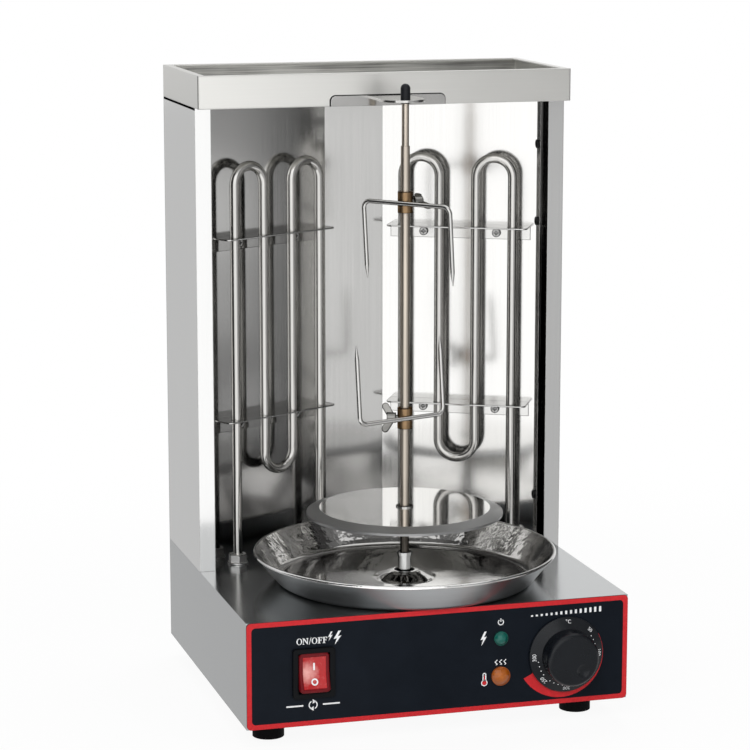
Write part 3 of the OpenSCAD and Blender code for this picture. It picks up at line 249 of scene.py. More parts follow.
def metal(
    name, colour, rough, grain, edges=0.0003, vary=0.06, place=None, wave=0.0, ripple=0.0,
    depth=0.12, dark=None, blend=None, rim=1.0,
):
    """Metal whose fine grain, faint smears and waviness come from stretched noise.

    A place is the upright axis around which the grain is turned.
    A ripple is the strength of small dents on the pan's wall.
    A function given as dark gives how much of its colour each point keeps, from 0 under the darkest
    painted shade or in a dark seam, to 1.
    A pair given as blend is a function from 0 to 1, and the colour that is reached at 1: painted shade
    on the reflectors, a painted sheen on the pan.
    A low rim dulls the metal where it turns away, a painted shade that outlines round stock.
    """
    look = Look(name, metallic=1.0, Specular_Tint=(rim, rim, rim, 1.0))
    if edges:
        look.soft_edges(edges)
    source = look.around(place) if place else None
    lines = look.noise(grain, detail=4.0, place=source)
    smear = look.noise(SMEARS, detail=4.0)
    tone = look.maths(
        "ADD",
        look.maths("MULTIPLY", lines, GRAIN_SHARE),
        look.maths("MULTIPLY", smear, SMEAR_SHARE))
    darker = scaled(colour, 1 - vary)
    lighter = scaled(colour, 1 + vary)
    stops = [(LOW_TONE, darker), (MIDDLE_TONE, colour), (HIGH_TONE, lighter)]
    look.feed(look.spread(tone, *rough), look.shader.inputs["Roughness"])
    # Painted shade, and the tray's dark seams, darken the colour and the edge tint
    if dark:
        undarkened = dark(look)
        tone = look.maths("MULTIPLY", tone, undarkened)
        look.feed(look.maths("MULTIPLY", undarkened, rim), look.shader.inputs["Specular Tint"])
        stops = [(SHADE_AND_SEAM_TONE, SHADE_AND_SEAM_BLACK), (SHADE_AND_SEAM_END_TONE, darker), *stops[1:]]
    shade = look.colours(tone, stops)
    if blend:
        share, other = blend
        mixed = look.add("ShaderNodeMixRGB")
        mixed.inputs["Color2"].default_value = (*other, 1.0)
        look.feed(share(look), mixed.inputs["Fac"])
        look.feed(shade, mixed.inputs["Color1"])
        shade = mixed.outputs["Color"]
    look.feed(shade, look.shader.inputs["Base Color"])
    if wave:
        look.bump(look.noise(WAVES, detail=1.0), wave, WAVE_DEPTH)
    if ripple:
        upright = look.spread(look.split()[2], 0.12, 1.0, *PAN_WALL_Z)
        dents = look.noise(DENTS, detail=2.0)
        look.bump(look.maths("MULTIPLY", dents, upright), ripple, DENT_DEPTH)
    look.bump(lines, depth, GRAIN_DEPTH)
    return look.material


def plastic(name, colour, rough, grain, vary=0.12, specular=0.3, edges=0.0004):
    """Moulded plastic, rubber or paint with a fine texture and faint marks."""
    look = Look(name, Specular_IOR_Level=specular)
    if edges:
        look.soft_edges(edges)
    fine = look.noise(even(grain), detail=3.0)
    marks = look.noise(even(45), detail=4.0)
    stops = [(0.3, scaled(colour, 1 - vary)), (0.7, scaled(colour, 1 + vary))]
    look.feed(look.colours(marks, stops), look.shader.inputs["Base Color"])
    look.feed(look.spread(marks, *rough), look.shader.inputs["Roughness"])
    look.bump(fine, 0.15, PLASTIC_DEPTH)
    return look.material


def plastic_with_painted_highlight(name, deep, bright, centre, reach, coat):
    """Tinted plastic with a highlight painted into its colour, paler around a centre point."""
    look = Look(name, Specular_IOR_Level=0.1 + 0.6 * coat, Coat_Weight=coat, Coat_Roughness=0.08)
    rough = 0.12
    offset = look.add("ShaderNodeVectorMath", operation="DISTANCE")
    offset.inputs[1].default_value = centre
    look.feed(look.place, offset.inputs[0])
    near = look.spread(offset.outputs["Value"], 1.0, 0.0, 0.0, reach)
    cloud = look.noise(even(400), detail=2.0)
    mixed = look.maths("ADD", near, look.spread(cloud, -0.12, 0.12))
    stops = [(0.05, deep), (0.95, bright)]
    look.feed(look.colours(mixed, stops), look.shader.inputs["Base Color"])
    look.feed(look.spread(cloud, rough * 0.7, rough * 1.3), look.shader.inputs["Roughness"])
    look.bump(cloud, 0.04, LENS_DEPTH)
    return look.material


def ink(name, colour):
    """Screen-printed ink with slightly uneven cover."""
    look = Look(name, Specular_IOR_Level=0.2)
    rough = 0.45
    cover = look.noise(even(500), detail=3.0)
    stops = [(0.3, scaled(colour, 0.9)), (0.7, scaled(colour, 1.06))]
    look.feed(look.colours(cover, stops), look.shader.inputs["Base Color"])
    look.feed(look.spread(cover, rough - 0.08, rough + 0.1), look.shader.inputs["Roughness"])
    look.bump(cover, 0.05, INK_DEPTH)
    return look.material


def painted_wall_shade(look):
    """Painted shade on the posts' inner returns and a painted shadow under the tray on the outer faces.
    """
    x, y, z = look.split()
    across = look.maths("ABSOLUTE", x)
    returns = look.most(
        look.spread(across, SHADED_RETURN, 1.0, *POST_RETURN_X),
        look.spread(y, 1.0, 0.0, *POST_FACE_Y))
    shadow_line = look.most(
        look.spread(z, 1.0, 0.0, *UNDER_TRAY_Z),
        look.spread(across, 1.0, 0.0, *OUTER_FACE_X))
    return look.least(returns, shadow_line)


def painted_tray_shade_and_seams(look):
    """Painted shade inside the tray, a painted shadow around the bracket, and dark corner seams."""
    x, y, z = look.split()
    across = look.maths("ABSOLUTE", x)
    past_side = look.most(look.maths("SUBTRACT", across, FLANGE_CORNER_X), 0.0)
    past_top = look.most(look.maths("SUBTRACT", z, FLANGE_CORNER_Z), 0.0)
    shadow_line = look.most(
        look.spread(look.length(past_side, past_top), 0.0, 1.0, *FLANGE_SHADOW),
        look.spread(y, 0.0, 1.0, *TRAY_FRONT_Y))
    inside = look.most(
        look.spread(y, 1.0, SHADED_TRAY, *TRAY_LIP_Y),
        look.spread(y, SHADED_TRAY, 1.0, *TRAY_BACK_Y),
        look.spread(across, SHADED_TRAY, 1.0, *TRAY_SIDE_X),
        look.spread(z, SHADED_TRAY, 1.0, *TRAY_TOP_Z),
        look.spread(z, SHADED_TRAY_FLOOR, SHADED_TRAY, *TRAY_FLOOR_Z))
    from_seam = look.maths("ABSOLUTE", look.maths("SUBTRACT", y, SEAM_MIDDLE_Y))
    seam = look.most(
        look.spread(from_seam, CLEAN_SEAM, 1.0, *SEAM_HALF),
        look.spread(across, 1.0, 0.0, *OUTER_FACE_X))
    return look.least(shadow_line, inside, seam)


def painted_tube_shade(look):
    """Painted shade on the sides of the tubes that face the slanted reflectors."""
    x, y, _ = look.split()
    across = look.maths("MULTIPLY", look.maths("ABSOLUTE", x), REFLECTOR_NORMAL[0])
    gap = look.maths("ADD", across, look.maths("MULTIPLY", y, REFLECTOR_NORMAL[1]))
    return look.spread(gap, SHADED_TUBE, 1.0, *HEATER_GAP)


def painted_reflector_foot_shade(look):
    """Painted shade on the foot of the left reflector and of the left half of the centre one."""
    x, _, z = look.split()
    low = look.spread(z, 1.0, 0.0, *REFLECTOR_FOOT_Z)
    return look.maths("MULTIPLY", low, look.spread(x, 1.0, 0.0, *REFLECTOR_LEFT_X))


def painted_rod_shadow(look):
    """Painted shadow on the lower end of the rod, below the disc."""
    return look.spread(look.split()[2], SHADED_ROD, 1.0, *ROD_FOOT_Z)


def painted_edge_shade(radius):
    """Painted shade on cut edges, where a normal rounded over this radius leaves the face's own."""

    def undarkened(look):
        own = look.add("ShaderNodeNewGeometry")
        along = look.add("ShaderNodeVectorMath", operation="DOT_PRODUCT")
        look.feed(look.rounded_normal(radius, samples=8), along.inputs[0])
        look.feed(own.outputs["True Normal"], along.inputs[1])
        return look.spread(along.outputs["Value"], 0.0, 1.0, *EDGE_COSINE)

    return undarkened


def painted_pan_front_sheen(look):
    """Painted sheen on the front left of the pan, which the right reflector mirrors."""
    x, y, _ = look.split()
    front = look.spread(y, 1.0, 0.0, *PAN_FRONT_Y)
    return look.maths("MULTIPLY", front, look.spread(x, 1.0, 0.0, *PAN_LEFT_X))


def disc_look():
    """Polished flat with a satin band on its sloping edge."""
    look = Look("polished disc", metallic=1.0)
    look.soft_edges(0.0003)
    lines = look.noise(TURNED_GRAIN, detail=4.0, place=look.around(SPIT))
    edge = look.spread(look.radius(SPIT), 0.0, 1.0, *DISC_EDGE_RADIUS)
    mixed = look.maths("ADD", edge, look.spread(lines, -0.05, 0.05))
    stops = [(0.05, (0.76, 0.755, 0.74)), (0.95, (0.30, 0.302, 0.302))]
    look.feed(look.colours(mixed, stops), look.shader.inputs["Base Color"])
    look.feed(look.spread(mixed, 0.07, 0.34, 0.0, 1.0), look.shader.inputs["Roughness"])
    look.bump(lines, 0.1, GRAIN_DEPTH)
    return look.material


# Each metal has a colour, the range of its roughness, and its grain; some carry painted shade
looks = {
    "sheet": metal(
        "brushed sheet", (0.452, 0.463, 0.467), (0.15, 0.21), LEVEL_GRAIN, vary=0.03, depth=0.08),
    "post": metal(
        "brushed post", (0.72, 0.72, 0.715), (0.10, 0.16), UPRIGHT_GRAIN,
        edges=0.0006, vary=0.03, depth=0.05, dark=painted_wall_shade),
    "tray": metal(
        "brushed tray", (0.70, 0.695, 0.67), (0.30, 0.36), LEVEL_GRAIN,
        edges=0.0016, vary=0.025, depth=0.05, dark=painted_tray_shade_and_seams),
    "mirror": metal(
        "polished reflector", (0.86, 0.855, 0.84), (0.11, 0.16), UPRIGHT_GRAIN,
        wave=0.03, vary=0.03, blend=(painted_reflector_foot_shade, (0.53, 0.525, 0.52))),
    "pan": metal(
        "polished pan", (0.52, 0.515, 0.505), (0.05, 0.11), TURNED_GRAIN, place=SPIT,
        vary=0.08, wave=0.12, ripple=0.45, blend=(painted_pan_front_sheen, (0.92, 0.915, 0.905))),
    "pan_outside": metal(
        "satin pan", (0.42, 0.43, 0.437), (0.26, 0.34), TURNED_GRAIN, place=SPIT,
        vary=0.08, wave=0.2),
    "disc": disc_look(),
    "clip": metal(
        "clip steel", (0.74, 0.735, 0.72), (0.10, 0.18), even(60),
        edges=0.0006, dark=painted_edge_shade(0.0010), rim=0.75),
    "bracket": metal(
        "bracket steel", (0.62, 0.615, 0.60), (0.08, 0.14), even(60), edges=0.0006),
    "bright": metal("bright wire", (0.66, 0.655, 0.64), (0.12, 0.2), even(60), rim=0.0),
    "wing": metal(
        "wing plate", (0.30, 0.295, 0.28), (0.24, 0.34), even(90),
        edges=0.0006, dark=painted_edge_shade(0.0018), rim=0.0),
    "chrome": metal("turned chrome", (0.74, 0.75, 0.755), (0.06, 0.12), (400, 400, 20), rim=0.0),
    "fitting": metal(
        "plated fitting", (0.84, 0.835, 0.82), (0.34, 0.46), even(90),
        edges=0.0005, dark=painted_edge_shade(0.0013)),
    "zinc": metal("zinc plate", (0.55, 0.55, 0.55), (0.12, 0.22), even(90)),
    "heater": metal(
        "heater tube", (0.61, 0.60, 0.58), (0.13, 0.19), (260, 260, 10),
        edges=0, vary=0.1, dark=painted_tube_shade, rim=0.0),
    "rod": metal(
        "tinted rod", (0.56, 0.50, 0.43), (0.3, 0.4), (900, 900, 12),
        vary=0.2, dark=painted_rod_shadow, rim=0.3),
    "screw": metal(
        "screw with painted edge shade", (0.66, 0.66, 0.65), (0.30, 0.40), even(90),
        edges=0.0006, dark=painted_edge_shade(0.0024), rim=0.0),
    "flange_screw": metal("black screw", (0.05, 0.05, 0.05), (0.25, 0.35), even(90)),
    "brass": metal(
        "tinted brass", (0.29, 0.19, 0.105), (0.26, 0.42), even(160),
        vary=0.35, dark=painted_edge_shade(0.0013), rim=0.2),
    "film": plastic(
        "panel film", (0.006, 0.0085, 0.013), (0.32, 0.42), 900, specular=0.055, edges=0),
    "black": plastic("black plastic", (0.007, 0.008, 0.01), (0.34, 0.46), 1400, specular=0.2),
    "knob": plastic("knob plastic", (0.005, 0.0065, 0.009), (0.24, 0.32), 1400, specular=0.26),
    "bezel": plastic(
        "bezel plastic", (0.003, 0.0035, 0.0045), (0.3, 0.42), 1400, specular=0.08, edges=0.0012),
    "rubber": plastic("foot rubber", (0.004, 0.004, 0.0045), (0.6, 0.8), 900, specular=0.06),
    "ceramic": plastic("ceramic", (0.75, 0.72, 0.65), (0.3, 0.5), 500, specular=0.5, vary=0.06),
    "paint": plastic("motor paint", (0.1, 0.1, 0.105), (0.4, 0.55), 700, specular=0.4),
    # Highlights painted into the rocker's and lenses' colours; the rocker's border is its red in
    # painted shade
    "red": plastic_with_painted_highlight(
        "red rocker with painted highlight", (0.42, 0.010, 0.012), (0.80, 0.40, 0.37),
        SWITCH + Vector((-0.0048, -0.003, 0.0005)), 0.0090, coat=0.25),
    "red_edge": plastic_with_painted_highlight(
        "red border in painted shade", (0.12, 0.004, 0.007), (0.20, 0.008, 0.012), SWITCH, 0.016, coat=0.03),
    "green": plastic_with_painted_highlight(
        "green lens", (0.002, 0.055, 0.042), (0.005, 0.12, 0.095),
        (LENS_X, LENS_Y, 0.0655), 0.008, coat=0.3),
    "amber": plastic_with_painted_highlight(
        "amber lens", (0.22, 0.045, 0.003), (0.40, 0.11, 0.012),
        (LENS_X, LENS_Y, 0.0396), 0.009, coat=0.3),
    "white_ink": ink("white ink", (0.8, 0.81, 0.82)),
    "red_ink": ink("red ink", (0.54, 0.015, 0.020)),
}

WEARS = {
    "sheet": "base_shell bottom_plate rear_cover motor_bracket",
    "tray": "top_tray",
    "post": "left_side_wall right_side_wall",
    "mirror": "left_reflector center_reflector right_reflector",
    "disc": "meat_disc",
    "pan": "drip_pan",
    "clip": "upper_heater_clips lower_heater_clips",
    "bracket": "skewer_bracket",
    "bright": "upper_fork lower_fork disc_hub disc_nut thermostat_spindle",
    "wing": "upper_wing_screw lower_wing_screw",
    "chrome": "drive_coupling motor_shaft",
    "fitting": "heater_fittings heater_washers",
    "screw": "clip_screws",
    "flange_screw": "reflector_screws",
    "zinc": "foot_screws foot_nuts case_screws tray_screws heater_locknuts heater_pins"
    " thermostat_nut motor_screws coupling_screw gearbox thermostat_body",
    "heater": "left_heater right_heater",
    "film": "control_panel",
    "bezel": "switch_body",
    "knob": "control_knob",
    "black": "skewer_cap cable_gland lamp_barrels lamp_nuts",
    "red": "switch_rocker",
    "green": "green_lamp_lens",
    "amber": "amber_lamp_lens",
    "rubber": "rubber_feet",
    "ceramic": "heater_beads terminal_block shaft_bush",
    "rod": "skewer_rod",
    "brass": "upper_collar lower_collar thermostat_bulb",
    "paint": "motor",
}


def wear(mesh, look):
    mesh.materials.clear()
    mesh.materials.append(looks[look])


for look, names in WEARS.items():
    for name in names.split():
        wear(nodes[name].data, look)


def add_object(name, data):
    made = bpy.data.objects.new(name, data)
    bpy.context.scene.collection.objects.link(made)
    return made


def show(name, mesh, body):
    """Put a new piece in the scene and let it ride on a body."""
    made = add_object(name, mesh)
    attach(made, body)
    return made


def mesh_of(name, points, faces, *materials):
    mesh = bpy.data.meshes.new(name)
    mesh.from_pydata(points, [], faces)
    for material in materials:
        mesh.materials.append(material)
    return mesh


def smooth(mesh, shades, crease):
    """Give each face its material, and round the shading up to a crease in degrees."""
    mesh.polygons.foreach_set("material_index", shades)
    mesh.shade_smooth()
    mesh.set_sharp_from_angle(angle=math.radians(crease))


def filled(curve, place=Matrix()):
    """The mesh of a filled curve or a text, moved to its place."""
    flat = add_object(curve.name, curve)
    flat.matrix_world = place
    bpy.context.view_layer.update()
    graph = bpy.context.evaluated_depsgraph_get()
    mesh = bpy.data.meshes.new_from_object(flat.evaluated_get(graph))
    mesh.transform(flat.matrix_world)
    bpy.data.objects.remove(flat)
    return mesh


def circle(x, z, rx, rz=None, steps=40):
    rz = rz or rx
    turns = [2 * math.pi * i / steps for i in range(steps)]
    return [(x + rx * math.cos(a), z + rz * math.sin(a)) for a in turns]


def arc(x, z, radius, start, stop, steps):
    """Points along an arc, with angles in degrees."""
    turns = [math.radians(start + (stop - start) * i / steps) for i in range(steps + 1)]
    return [(x + radius * math.cos(a), z + radius * math.sin(a)) for a in turns]


def rounded(x0, z0, x1, z1, r, steps=8):
    """Outline of a rectangle with round corners, counter-clockwise."""
    centres = [(x1 - r, z1 - r), (x0 + r, z1 - r), (x0 + r, z0 + r), (x1 - r, z0 + r)]
    out = []
    for corner, (x, z) in enumerate(centres):
        for i in range(steps + 1):
            a = math.radians(90 * corner + 90 * i / steps)
            out.append((x + r * math.cos(a), z + r * math.sin(a)))
    return out


def band(x, z, inner, outer, start, stop, growth=0.0, steps=40):
    """Outline of a bent strip, which can grow outwards from its start to its stop.

    Angles are in degrees, clockwise from the top.
    """
    angles = [start + (stop - start) * i / steps for i in range(steps + 1)]

    def at(a, r):
        t = math.radians(a)
        return (x + r * math.sin(t), z + r * math.cos(t))

    def edge(a):
        return outer + growth * ((a - start) / (stop - start)) ** 1.5

    return [at(a, edge(a)) for a in angles] + [at(a, inner) for a in reversed(angles)]


def moved(outline, x, z, k):
    return [(x + k * u, z + k * v) for u, v in outline]


INK_OUT = 0.00005
INK_HALF = 0.00003
ON_PANEL = Matrix.Translation((0, PANEL_Y - INK_OUT, 0)) @ Matrix.Rotation(math.pi / 2, 4, "X")


def panel_print(name, look, *outlines):
    """Ink on the front panel: outlines in millimetres across and up, inner ones as holes."""
    curve = bpy.data.curves.new(name, "CURVE")
    curve.dimensions = "2D"
    curve.fill_mode = "BOTH"
    curve.extrude = INK_HALF
    for outline in outlines:
        spline = curve.splines.new("POLY")
        spline.points.add(len(outline) - 1)
        for point, (x, z) in zip(spline.points, outline):
            point.co = (x * MM, z * MM, 0, 1)
        spline.use_cyclic_u = True
    mesh = filled(curve, ON_PANEL)
    mesh.name = name
    wear(mesh, look)
    return show(name, mesh, "chassis")


# Panel border and the wedge that grows with the temperature
outer_edge = rounded(-129.9, 16.1, 129.9, 86.9, 3.0)
inner_edge = rounded(-126.7, 19.3, 126.7, 83.7, 2.6)
panel_print("panel_border", "red_ink", outer_edge, inner_edge)
wedge = band(KNOB_X_MM, KNOB_Z_MM, inner=24.6, outer=26.1, start=62, stop=243, growth=6.4)
panel_print("heat_wedge", "red_ink", wedge)

# Label of the switch, as outlines one unit tall with their advance
LETTER_N = [
    (0, 1), (0.28, 1), (0.74, 0.32), (0.74, 0.93), (0.64, 0.93), (0.64, 1), (0.96, 1), (0.96, 0.93),
    (0.86, 0.93), (0.86, 0), (0.74, 0), (0.2, 0.8), (0.2, 0.07), (0.3, 0.07), (0.3, 0), (0, 0),
    (0, 0.07), (0.1, 0.07), (0.1, 0.93), (0, 0.93),
]
LETTER_F = [
    (0, 1), (0.74, 1), (0.74, 0.74), (0.68, 0.74), (0.6, 0.92), (0.34, 0.92), (0.34, 0.56), (0.5, 0.56),
    (0.54, 0.66), (0.6, 0.66), (0.6, 0.36), (0.54, 0.36), (0.5, 0.47), (0.34, 0.47), (0.34, 0.07),
    (0.46, 0.07), (0.46, 0), (0, 0), (0, 0.07), (0.12, 0.07), (0.12, 0.93), (0, 0.93),
]
SLASH = [(0, -0.05), (0.1, -0.05), (0.42, 1.05), (0.32, 1.05)]
LETTER_O = [circle(0.46, 0.5, 0.46, 0.52), circle(0.46, 0.5, 0.27, 0.45)]
SWITCH_LABEL = [
    (LETTER_O, 0.98), ([LETTER_N], 1.02), ([SLASH], 0.46),
    (LETTER_O, 0.98), ([LETTER_F], 0.79), ([LETTER_F], 0.74),
]
LABEL_LEFT = -97.0
LABEL_FOOT = 70.5
LABEL_SIZE = 4.1
at = LABEL_LEFT
for number, (shapes, advance) in enumerate(SWITCH_LABEL):
    outlines = [moved(shape, at, LABEL_FOOT, LABEL_SIZE) for shape in shapes]
    panel_print(f"switch_label_{number}", "white_ink", *outlines)
    at += advance * LABEL_SIZE


def bolt(x, z, width, size):
    """Outline of a bolt of lightning, its width as a share of its size."""
    shape = [(0.62, 1), (0.05, 0.42), (0.42, 0.46), (0.18, 0), (0.95, 0.64), (0.54, 0.6), (0.92, 1)]
    return moved([(u * width, v) for u, v in shape], x, z, size)


# Bolts, the turning mark below the switch, and the marks of the lamps
TURN = (-86.1, 29.7)
TURN_RADII = (2.3, 3.0)
BULB = (30.1, 34.6)
for name, look, *outlines in [
    ("switch_bolt_small", "white_ink", bolt(-76.2, 71.6, 0.55, 6.2)),
    ("switch_bolt_large", "white_ink", bolt(-72.6, 68.8, 0.62, 9.2)),
    ("turn_mark_left", "white_ink", band(*TURN, *TURN_RADII, 205, 335)),
    ("turn_mark_right", "white_ink", band(*TURN, *TURN_RADII, 25, 155)),
    ("turn_tip_upper", "white_ink", [(-86.4, 33.6), (-86.4, 30.6), (-83.9, 32.0)]),
    ("turn_tip_lower", "white_ink", [(-85.8, 25.8), (-85.8, 28.8), (-88.3, 27.4)]),
    ("turn_dash_left", "white_ink", rounded(-104.0, 29.2, -92.6, 30.2, 0.4)),
    ("turn_dash_right", "white_ink", rounded(-79.6, 29.2, -68.2, 30.2, 0.4)),
    ("lamp_bolt", "white_ink", bolt(27.0, 59.9, 0.5, 9.6)),
    ("lamp_ring", "white_ink", band(LAMP_X_MM, 75.0, 1.5, 2.1, 35, 325)),
    ("lamp_ring_bar", "white_ink", rounded(40.9, 75.2, 41.5, 77.6, 0.25)),
    ("bulb_white", "white_ink",
        rounded(28.8, 35.6, 31.4, 41.4, 1.29), rounded(29.5, 36.0, 30.7, 40.7, 0.59)),
    ("bulb_stem", "red_ink", rounded(29.7, 35.9, 30.5, 39.6, 0.39)),
    ("bulb_ring", "white_ink", circle(*BULB, 2.2), circle(*BULB, 1.6)),
    ("bulb_ball", "red_ink", circle(*BULB, 1.55)),
]:
    panel_print(name, look, *outlines)

# Upright waves over the amber lamp
WAVE_COUNT = 3
WAVE_FOOT = (38.2, 46.0)
WAVE_PITCH = 3.0
WAVE_SWAY = 0.6
WAVE_HALF = 0.4
WAVE_POINTS = 19
WAVE_RISE = 0.2
WAVE_TURN = 0.45
for number in range(WAVE_COUNT):
    left = WAVE_FOOT[0] + WAVE_PITCH * number
    middle = [
        (left + WAVE_SWAY * math.sin(WAVE_TURN * i), WAVE_FOOT[1] + WAVE_RISE * i)
        for i in range(WAVE_POINTS)
    ]
    strip = [(x - WAVE_HALF, z) for x, z in middle]
    strip += [(x + WAVE_HALF, z) for x, z in reversed(middle)]
    panel_print(f"warm_wave_{number}", "white_ink", strip)

# Rising bars over the dial
BAR_COUNT = 15
BAR_FOOT = (62.0, 77.0)
BAR_PITCH = 3.4
BAR_WIDTH = 1.5
FIRST_BAR_TOP = 78.0
BAR_GROWTH = 0.19
for number in range(BAR_COUNT):
    left = BAR_FOOT[0] + BAR_PITCH * number
    top = FIRST_BAR_TOP + BAR_GROWTH * number
    bar = rounded(left, BAR_FOOT[1], left + BAR_WIDTH, top, 0.3, steps=3)
    panel_print(f"dial_bar_{number}", "white_ink", bar)

# Figures and dots on the knob's skirt, whose slope runs in from its rim
SKIRT_RIM = 25.5
SKIRT_RUN = 7.5
SKIRT_OUT = 2.0
SKIRT_RISE = 3.0
SKIRT_INK = Vector((0, 0.00007, 0))
DIAL = {2: "°C", 45: "50", 90: "100", 135: "150", 180: "200", 225: "250", 269: "300"}
FIGURE_SIZE = 3.4
FIGURE_RADIUS = 22.6
DOT_SIZE = 0.36
DOT_SIDES = 12
DOT_RADIUS = 20.4
DOT_START = 45
DOT_STEP = 9
DOT_COUNT = 25
DOTS_PER_FIGURE = 5


def on_skirt(angle, radius):
    """A point on the skirt; angle in degrees clockwise from the top, radius in millimetres."""
    out = SKIRT_OUT + (SKIRT_RIM - radius) / SKIRT_RUN * SKIRT_RISE
    t = math.radians(angle)
    return KNOB + Vector((radius * math.sin(t), -out, radius * math.cos(t))) * MM - SKIRT_INK


def skirt_print(name, mesh, angle, radius):
    """Wrap a flat figure, in millimetres, around the knob's skirt."""
    for vertex in mesh.vertices:
        u, v = vertex.co.x, vertex.co.y
        vertex.co = on_skirt(angle + math.degrees(u / radius), radius + v)
    mesh.name = name
    wear(mesh, "white_ink")
    show(name, mesh, "knob")


def lettering(text):
    curve = bpy.data.curves.new(text, "FONT")
    curve.body = text
    curve.size = FIGURE_SIZE
    curve.align_x = "CENTER"
    curve.align_y = "CENTER"
    curve.resolution_u = 3
    return filled(curve)


for angle, text in DIAL.items():
    skirt_print(f"knob_figure_{angle}", lettering(text), angle, FIGURE_RADIUS)
for number in range(DOT_COUNT):
    if number % DOTS_PER_FIGURE:
        corners = [(x, z, 0) for x, z in circle(0, 0, DOT_SIZE, steps=DOT_SIDES)]
        dot = mesh_of("dot", corners, [tuple(range(DOT_SIDES))])
        skirt_print(f"knob_dot_{number}", dot, DOT_START + DOT_STEP * number, DOT_RADIUS)

# Rocker, in millimetres around its pivot: raised border in painted shade, dished face with a painted
# highlight
ROCKER_HALF_W = 20.3 / 2
ROCKER_HALF_H = 25.8 / 2
ROCKER_TILT = math.radians(-9)
ROCKER_BACK = -3.4
ROCKER_CORNER = 2.6
ROCKER_WAIST = 3.84
ROCKER_END_RISE = 2.0
ROCKER_MARK_OUT = 0.12
DISH_EDGE = 0.45
DISH_DEPTH = 0.75
DISH_HALF_W = 7.6
FACE_INSET = 2.7
FACE_CORNER = 0.6
FACE_LOOPS = 24
BORDER = [(0, -1.15), (0.25, -0.5), (0.7, -0.12), (1.2, 0), (2.1, -0.05), (2.5, -0.25)]
ARC_POINTS = 9
SIDE_PARTS = 10


def rocker_crest(v):
    """How far the border stands out from the pivot, with a waist in its middle."""
    return ROCKER_WAIST + ROCKER_END_RISE * abs(v / ROCKER_HALF_H) ** 1.5


def rocker_front(u, v):
    """How far the dished face stands out from the pivot."""
    dish = DISH_EDGE + DISH_DEPTH * max(0.0, 1 - (u / DISH_HALF_W) ** 2)
    return rocker_crest(v) - dish


def rocker_point(u, v, out):
    turned = Matrix.Rotation(ROCKER_TILT, 3, "X") @ Vector((u, -out, v))
    return SWITCH + turned * MM


def rocker_outline(w, h, r):
    """A rounded rectangle with more points along its straight sides."""
    outline = rounded(-w, -h, w, h, r)
    out = []
    for i, (u, v) in enumerate(outline):
        out.append((u, v))
        if i % ARC_POINTS == ARC_POINTS - 1:
            end = outline[(i + 1) % len(outline)]
            for part in range(1, SIDE_PARTS):
                k = part / SIDE_PARTS
                out.append((u + (end[0] - u) * k, v + (end[1] - v) * k))
    return out


def rocker_loops():
    """Outlines from the back edge over the border to the middle, with their heights."""
    back = rocker_outline(ROCKER_HALF_W, ROCKER_HALF_H, ROCKER_CORNER)
    yield [(u, v, ROCKER_BACK) for u, v in back]
    for inset, height in BORDER:
        corner = max(FACE_CORNER, ROCKER_CORNER - inset)
        loop = rocker_outline(ROCKER_HALF_W - inset, ROCKER_HALF_H - inset, corner)
        yield [(u, v, rocker_crest(v) + height) for u, v in loop]
    for step in range(FACE_LOOPS):
        k = 1 - step / FACE_LOOPS
        w = (ROCKER_HALF_W - FACE_INSET) * k
        h = (ROCKER_HALF_H - FACE_INSET) * k
        yield [(u, v, rocker_front(u, v)) for u, v in rocker_outline(w, h, FACE_CORNER * k)]


def rocker_mesh():
    loops = list(rocker_loops())
    count = len(loops[0])
    points = [rocker_point(*p) for loop in loops for p in loop]
    faces = []
    shades = []
    for ring in range(len(loops) - 1):
        for i in range(count):
            a, b = ring * count + i, ring * count + (i + 1) % count
            faces.append((a, b, b + count, a + count))
            shades.append(0 if ring < len(BORDER) else 1)
    points.append(rocker_point(0, 0, rocker_front(0, 0)))
    last = (len(loops) - 1) * count
    for i in range(count):
        faces.append((last + i, last + (i + 1) % count, len(points) - 1))
        shades.append(1)
    faces.append(tuple(reversed(range(count))))
    shades.append(0)
    mesh = mesh_of("rocker_cap", points, faces, looks["red_edge"], looks["red"])
    smooth(mesh, shades, crease=60)
    return mesh


rocker = show("rocker_cap", rocker_mesh(), "rocker")
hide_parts("switch_rocker")


def rocker_mark(name, *outlines):
    """White figure that lies on the rocker's dished face; a second outline is its hole."""
    points = []
    for outline in outlines:
        points += [rocker_point(u, v, rocker_front(u, v) + ROCKER_MARK_OUT) for u, v in outline]
    count = len(outlines[0])
    if len(outlines) == 1:
        faces = [tuple(range(count))]
    else:
        faces = [(i, (i + 1) % count, count + (i + 1) % count, count + i) for i in range(count)]
    show(name, mesh_of(name, points, faces, looks["white_ink"]), "rocker")


rocker_mark("rocker_mark_on", rounded(-0.6, 1.6, 0.6, 6.4, 0.3))
rocker_mark("rocker_mark_off", circle(0, -6.0, 2.3), circle(0, -6.0, 1.35))

# Drip pan as one smooth turned sheet with a rolled rim, in millimetres
PAN_LOW = 87.0
PAN_THICK = 0.8
PAN_STEPS = 160
CORNER_RADIUS = 8.0
CORNER = (82.0, PAN_LOW + CORNER_RADIUS)
CORNER_STEPS = 14
RIM = (101.2, PAN_LOW + 19.8)
RIM_RADIUS = 1.2
RIM_START = -60
RIM_STOP = 190
RIM_STEPS = 16
DOME_HOLE = 7
DOME_RUN = 15.5
DOME_HALF_RISE = 2.7
DOME_STEPS = 18


def wall_lean():
    """Angle at the corner where the straight wall begins, on its way to the rim."""
    run, rise = RIM[0] - CORNER[0], RIM[1] - CORNER[1]
    return math.degrees(math.atan2(rise, run) - math.acos(CORNER_RADIUS / math.hypot(run, rise)))


def dome_point(i):
    rise = DOME_HALF_RISE * (1 + math.cos(math.pi * i / DOME_STEPS))
    return (DOME_HOLE + DOME_RUN * i / DOME_STEPS, PAN_LOW + rise)


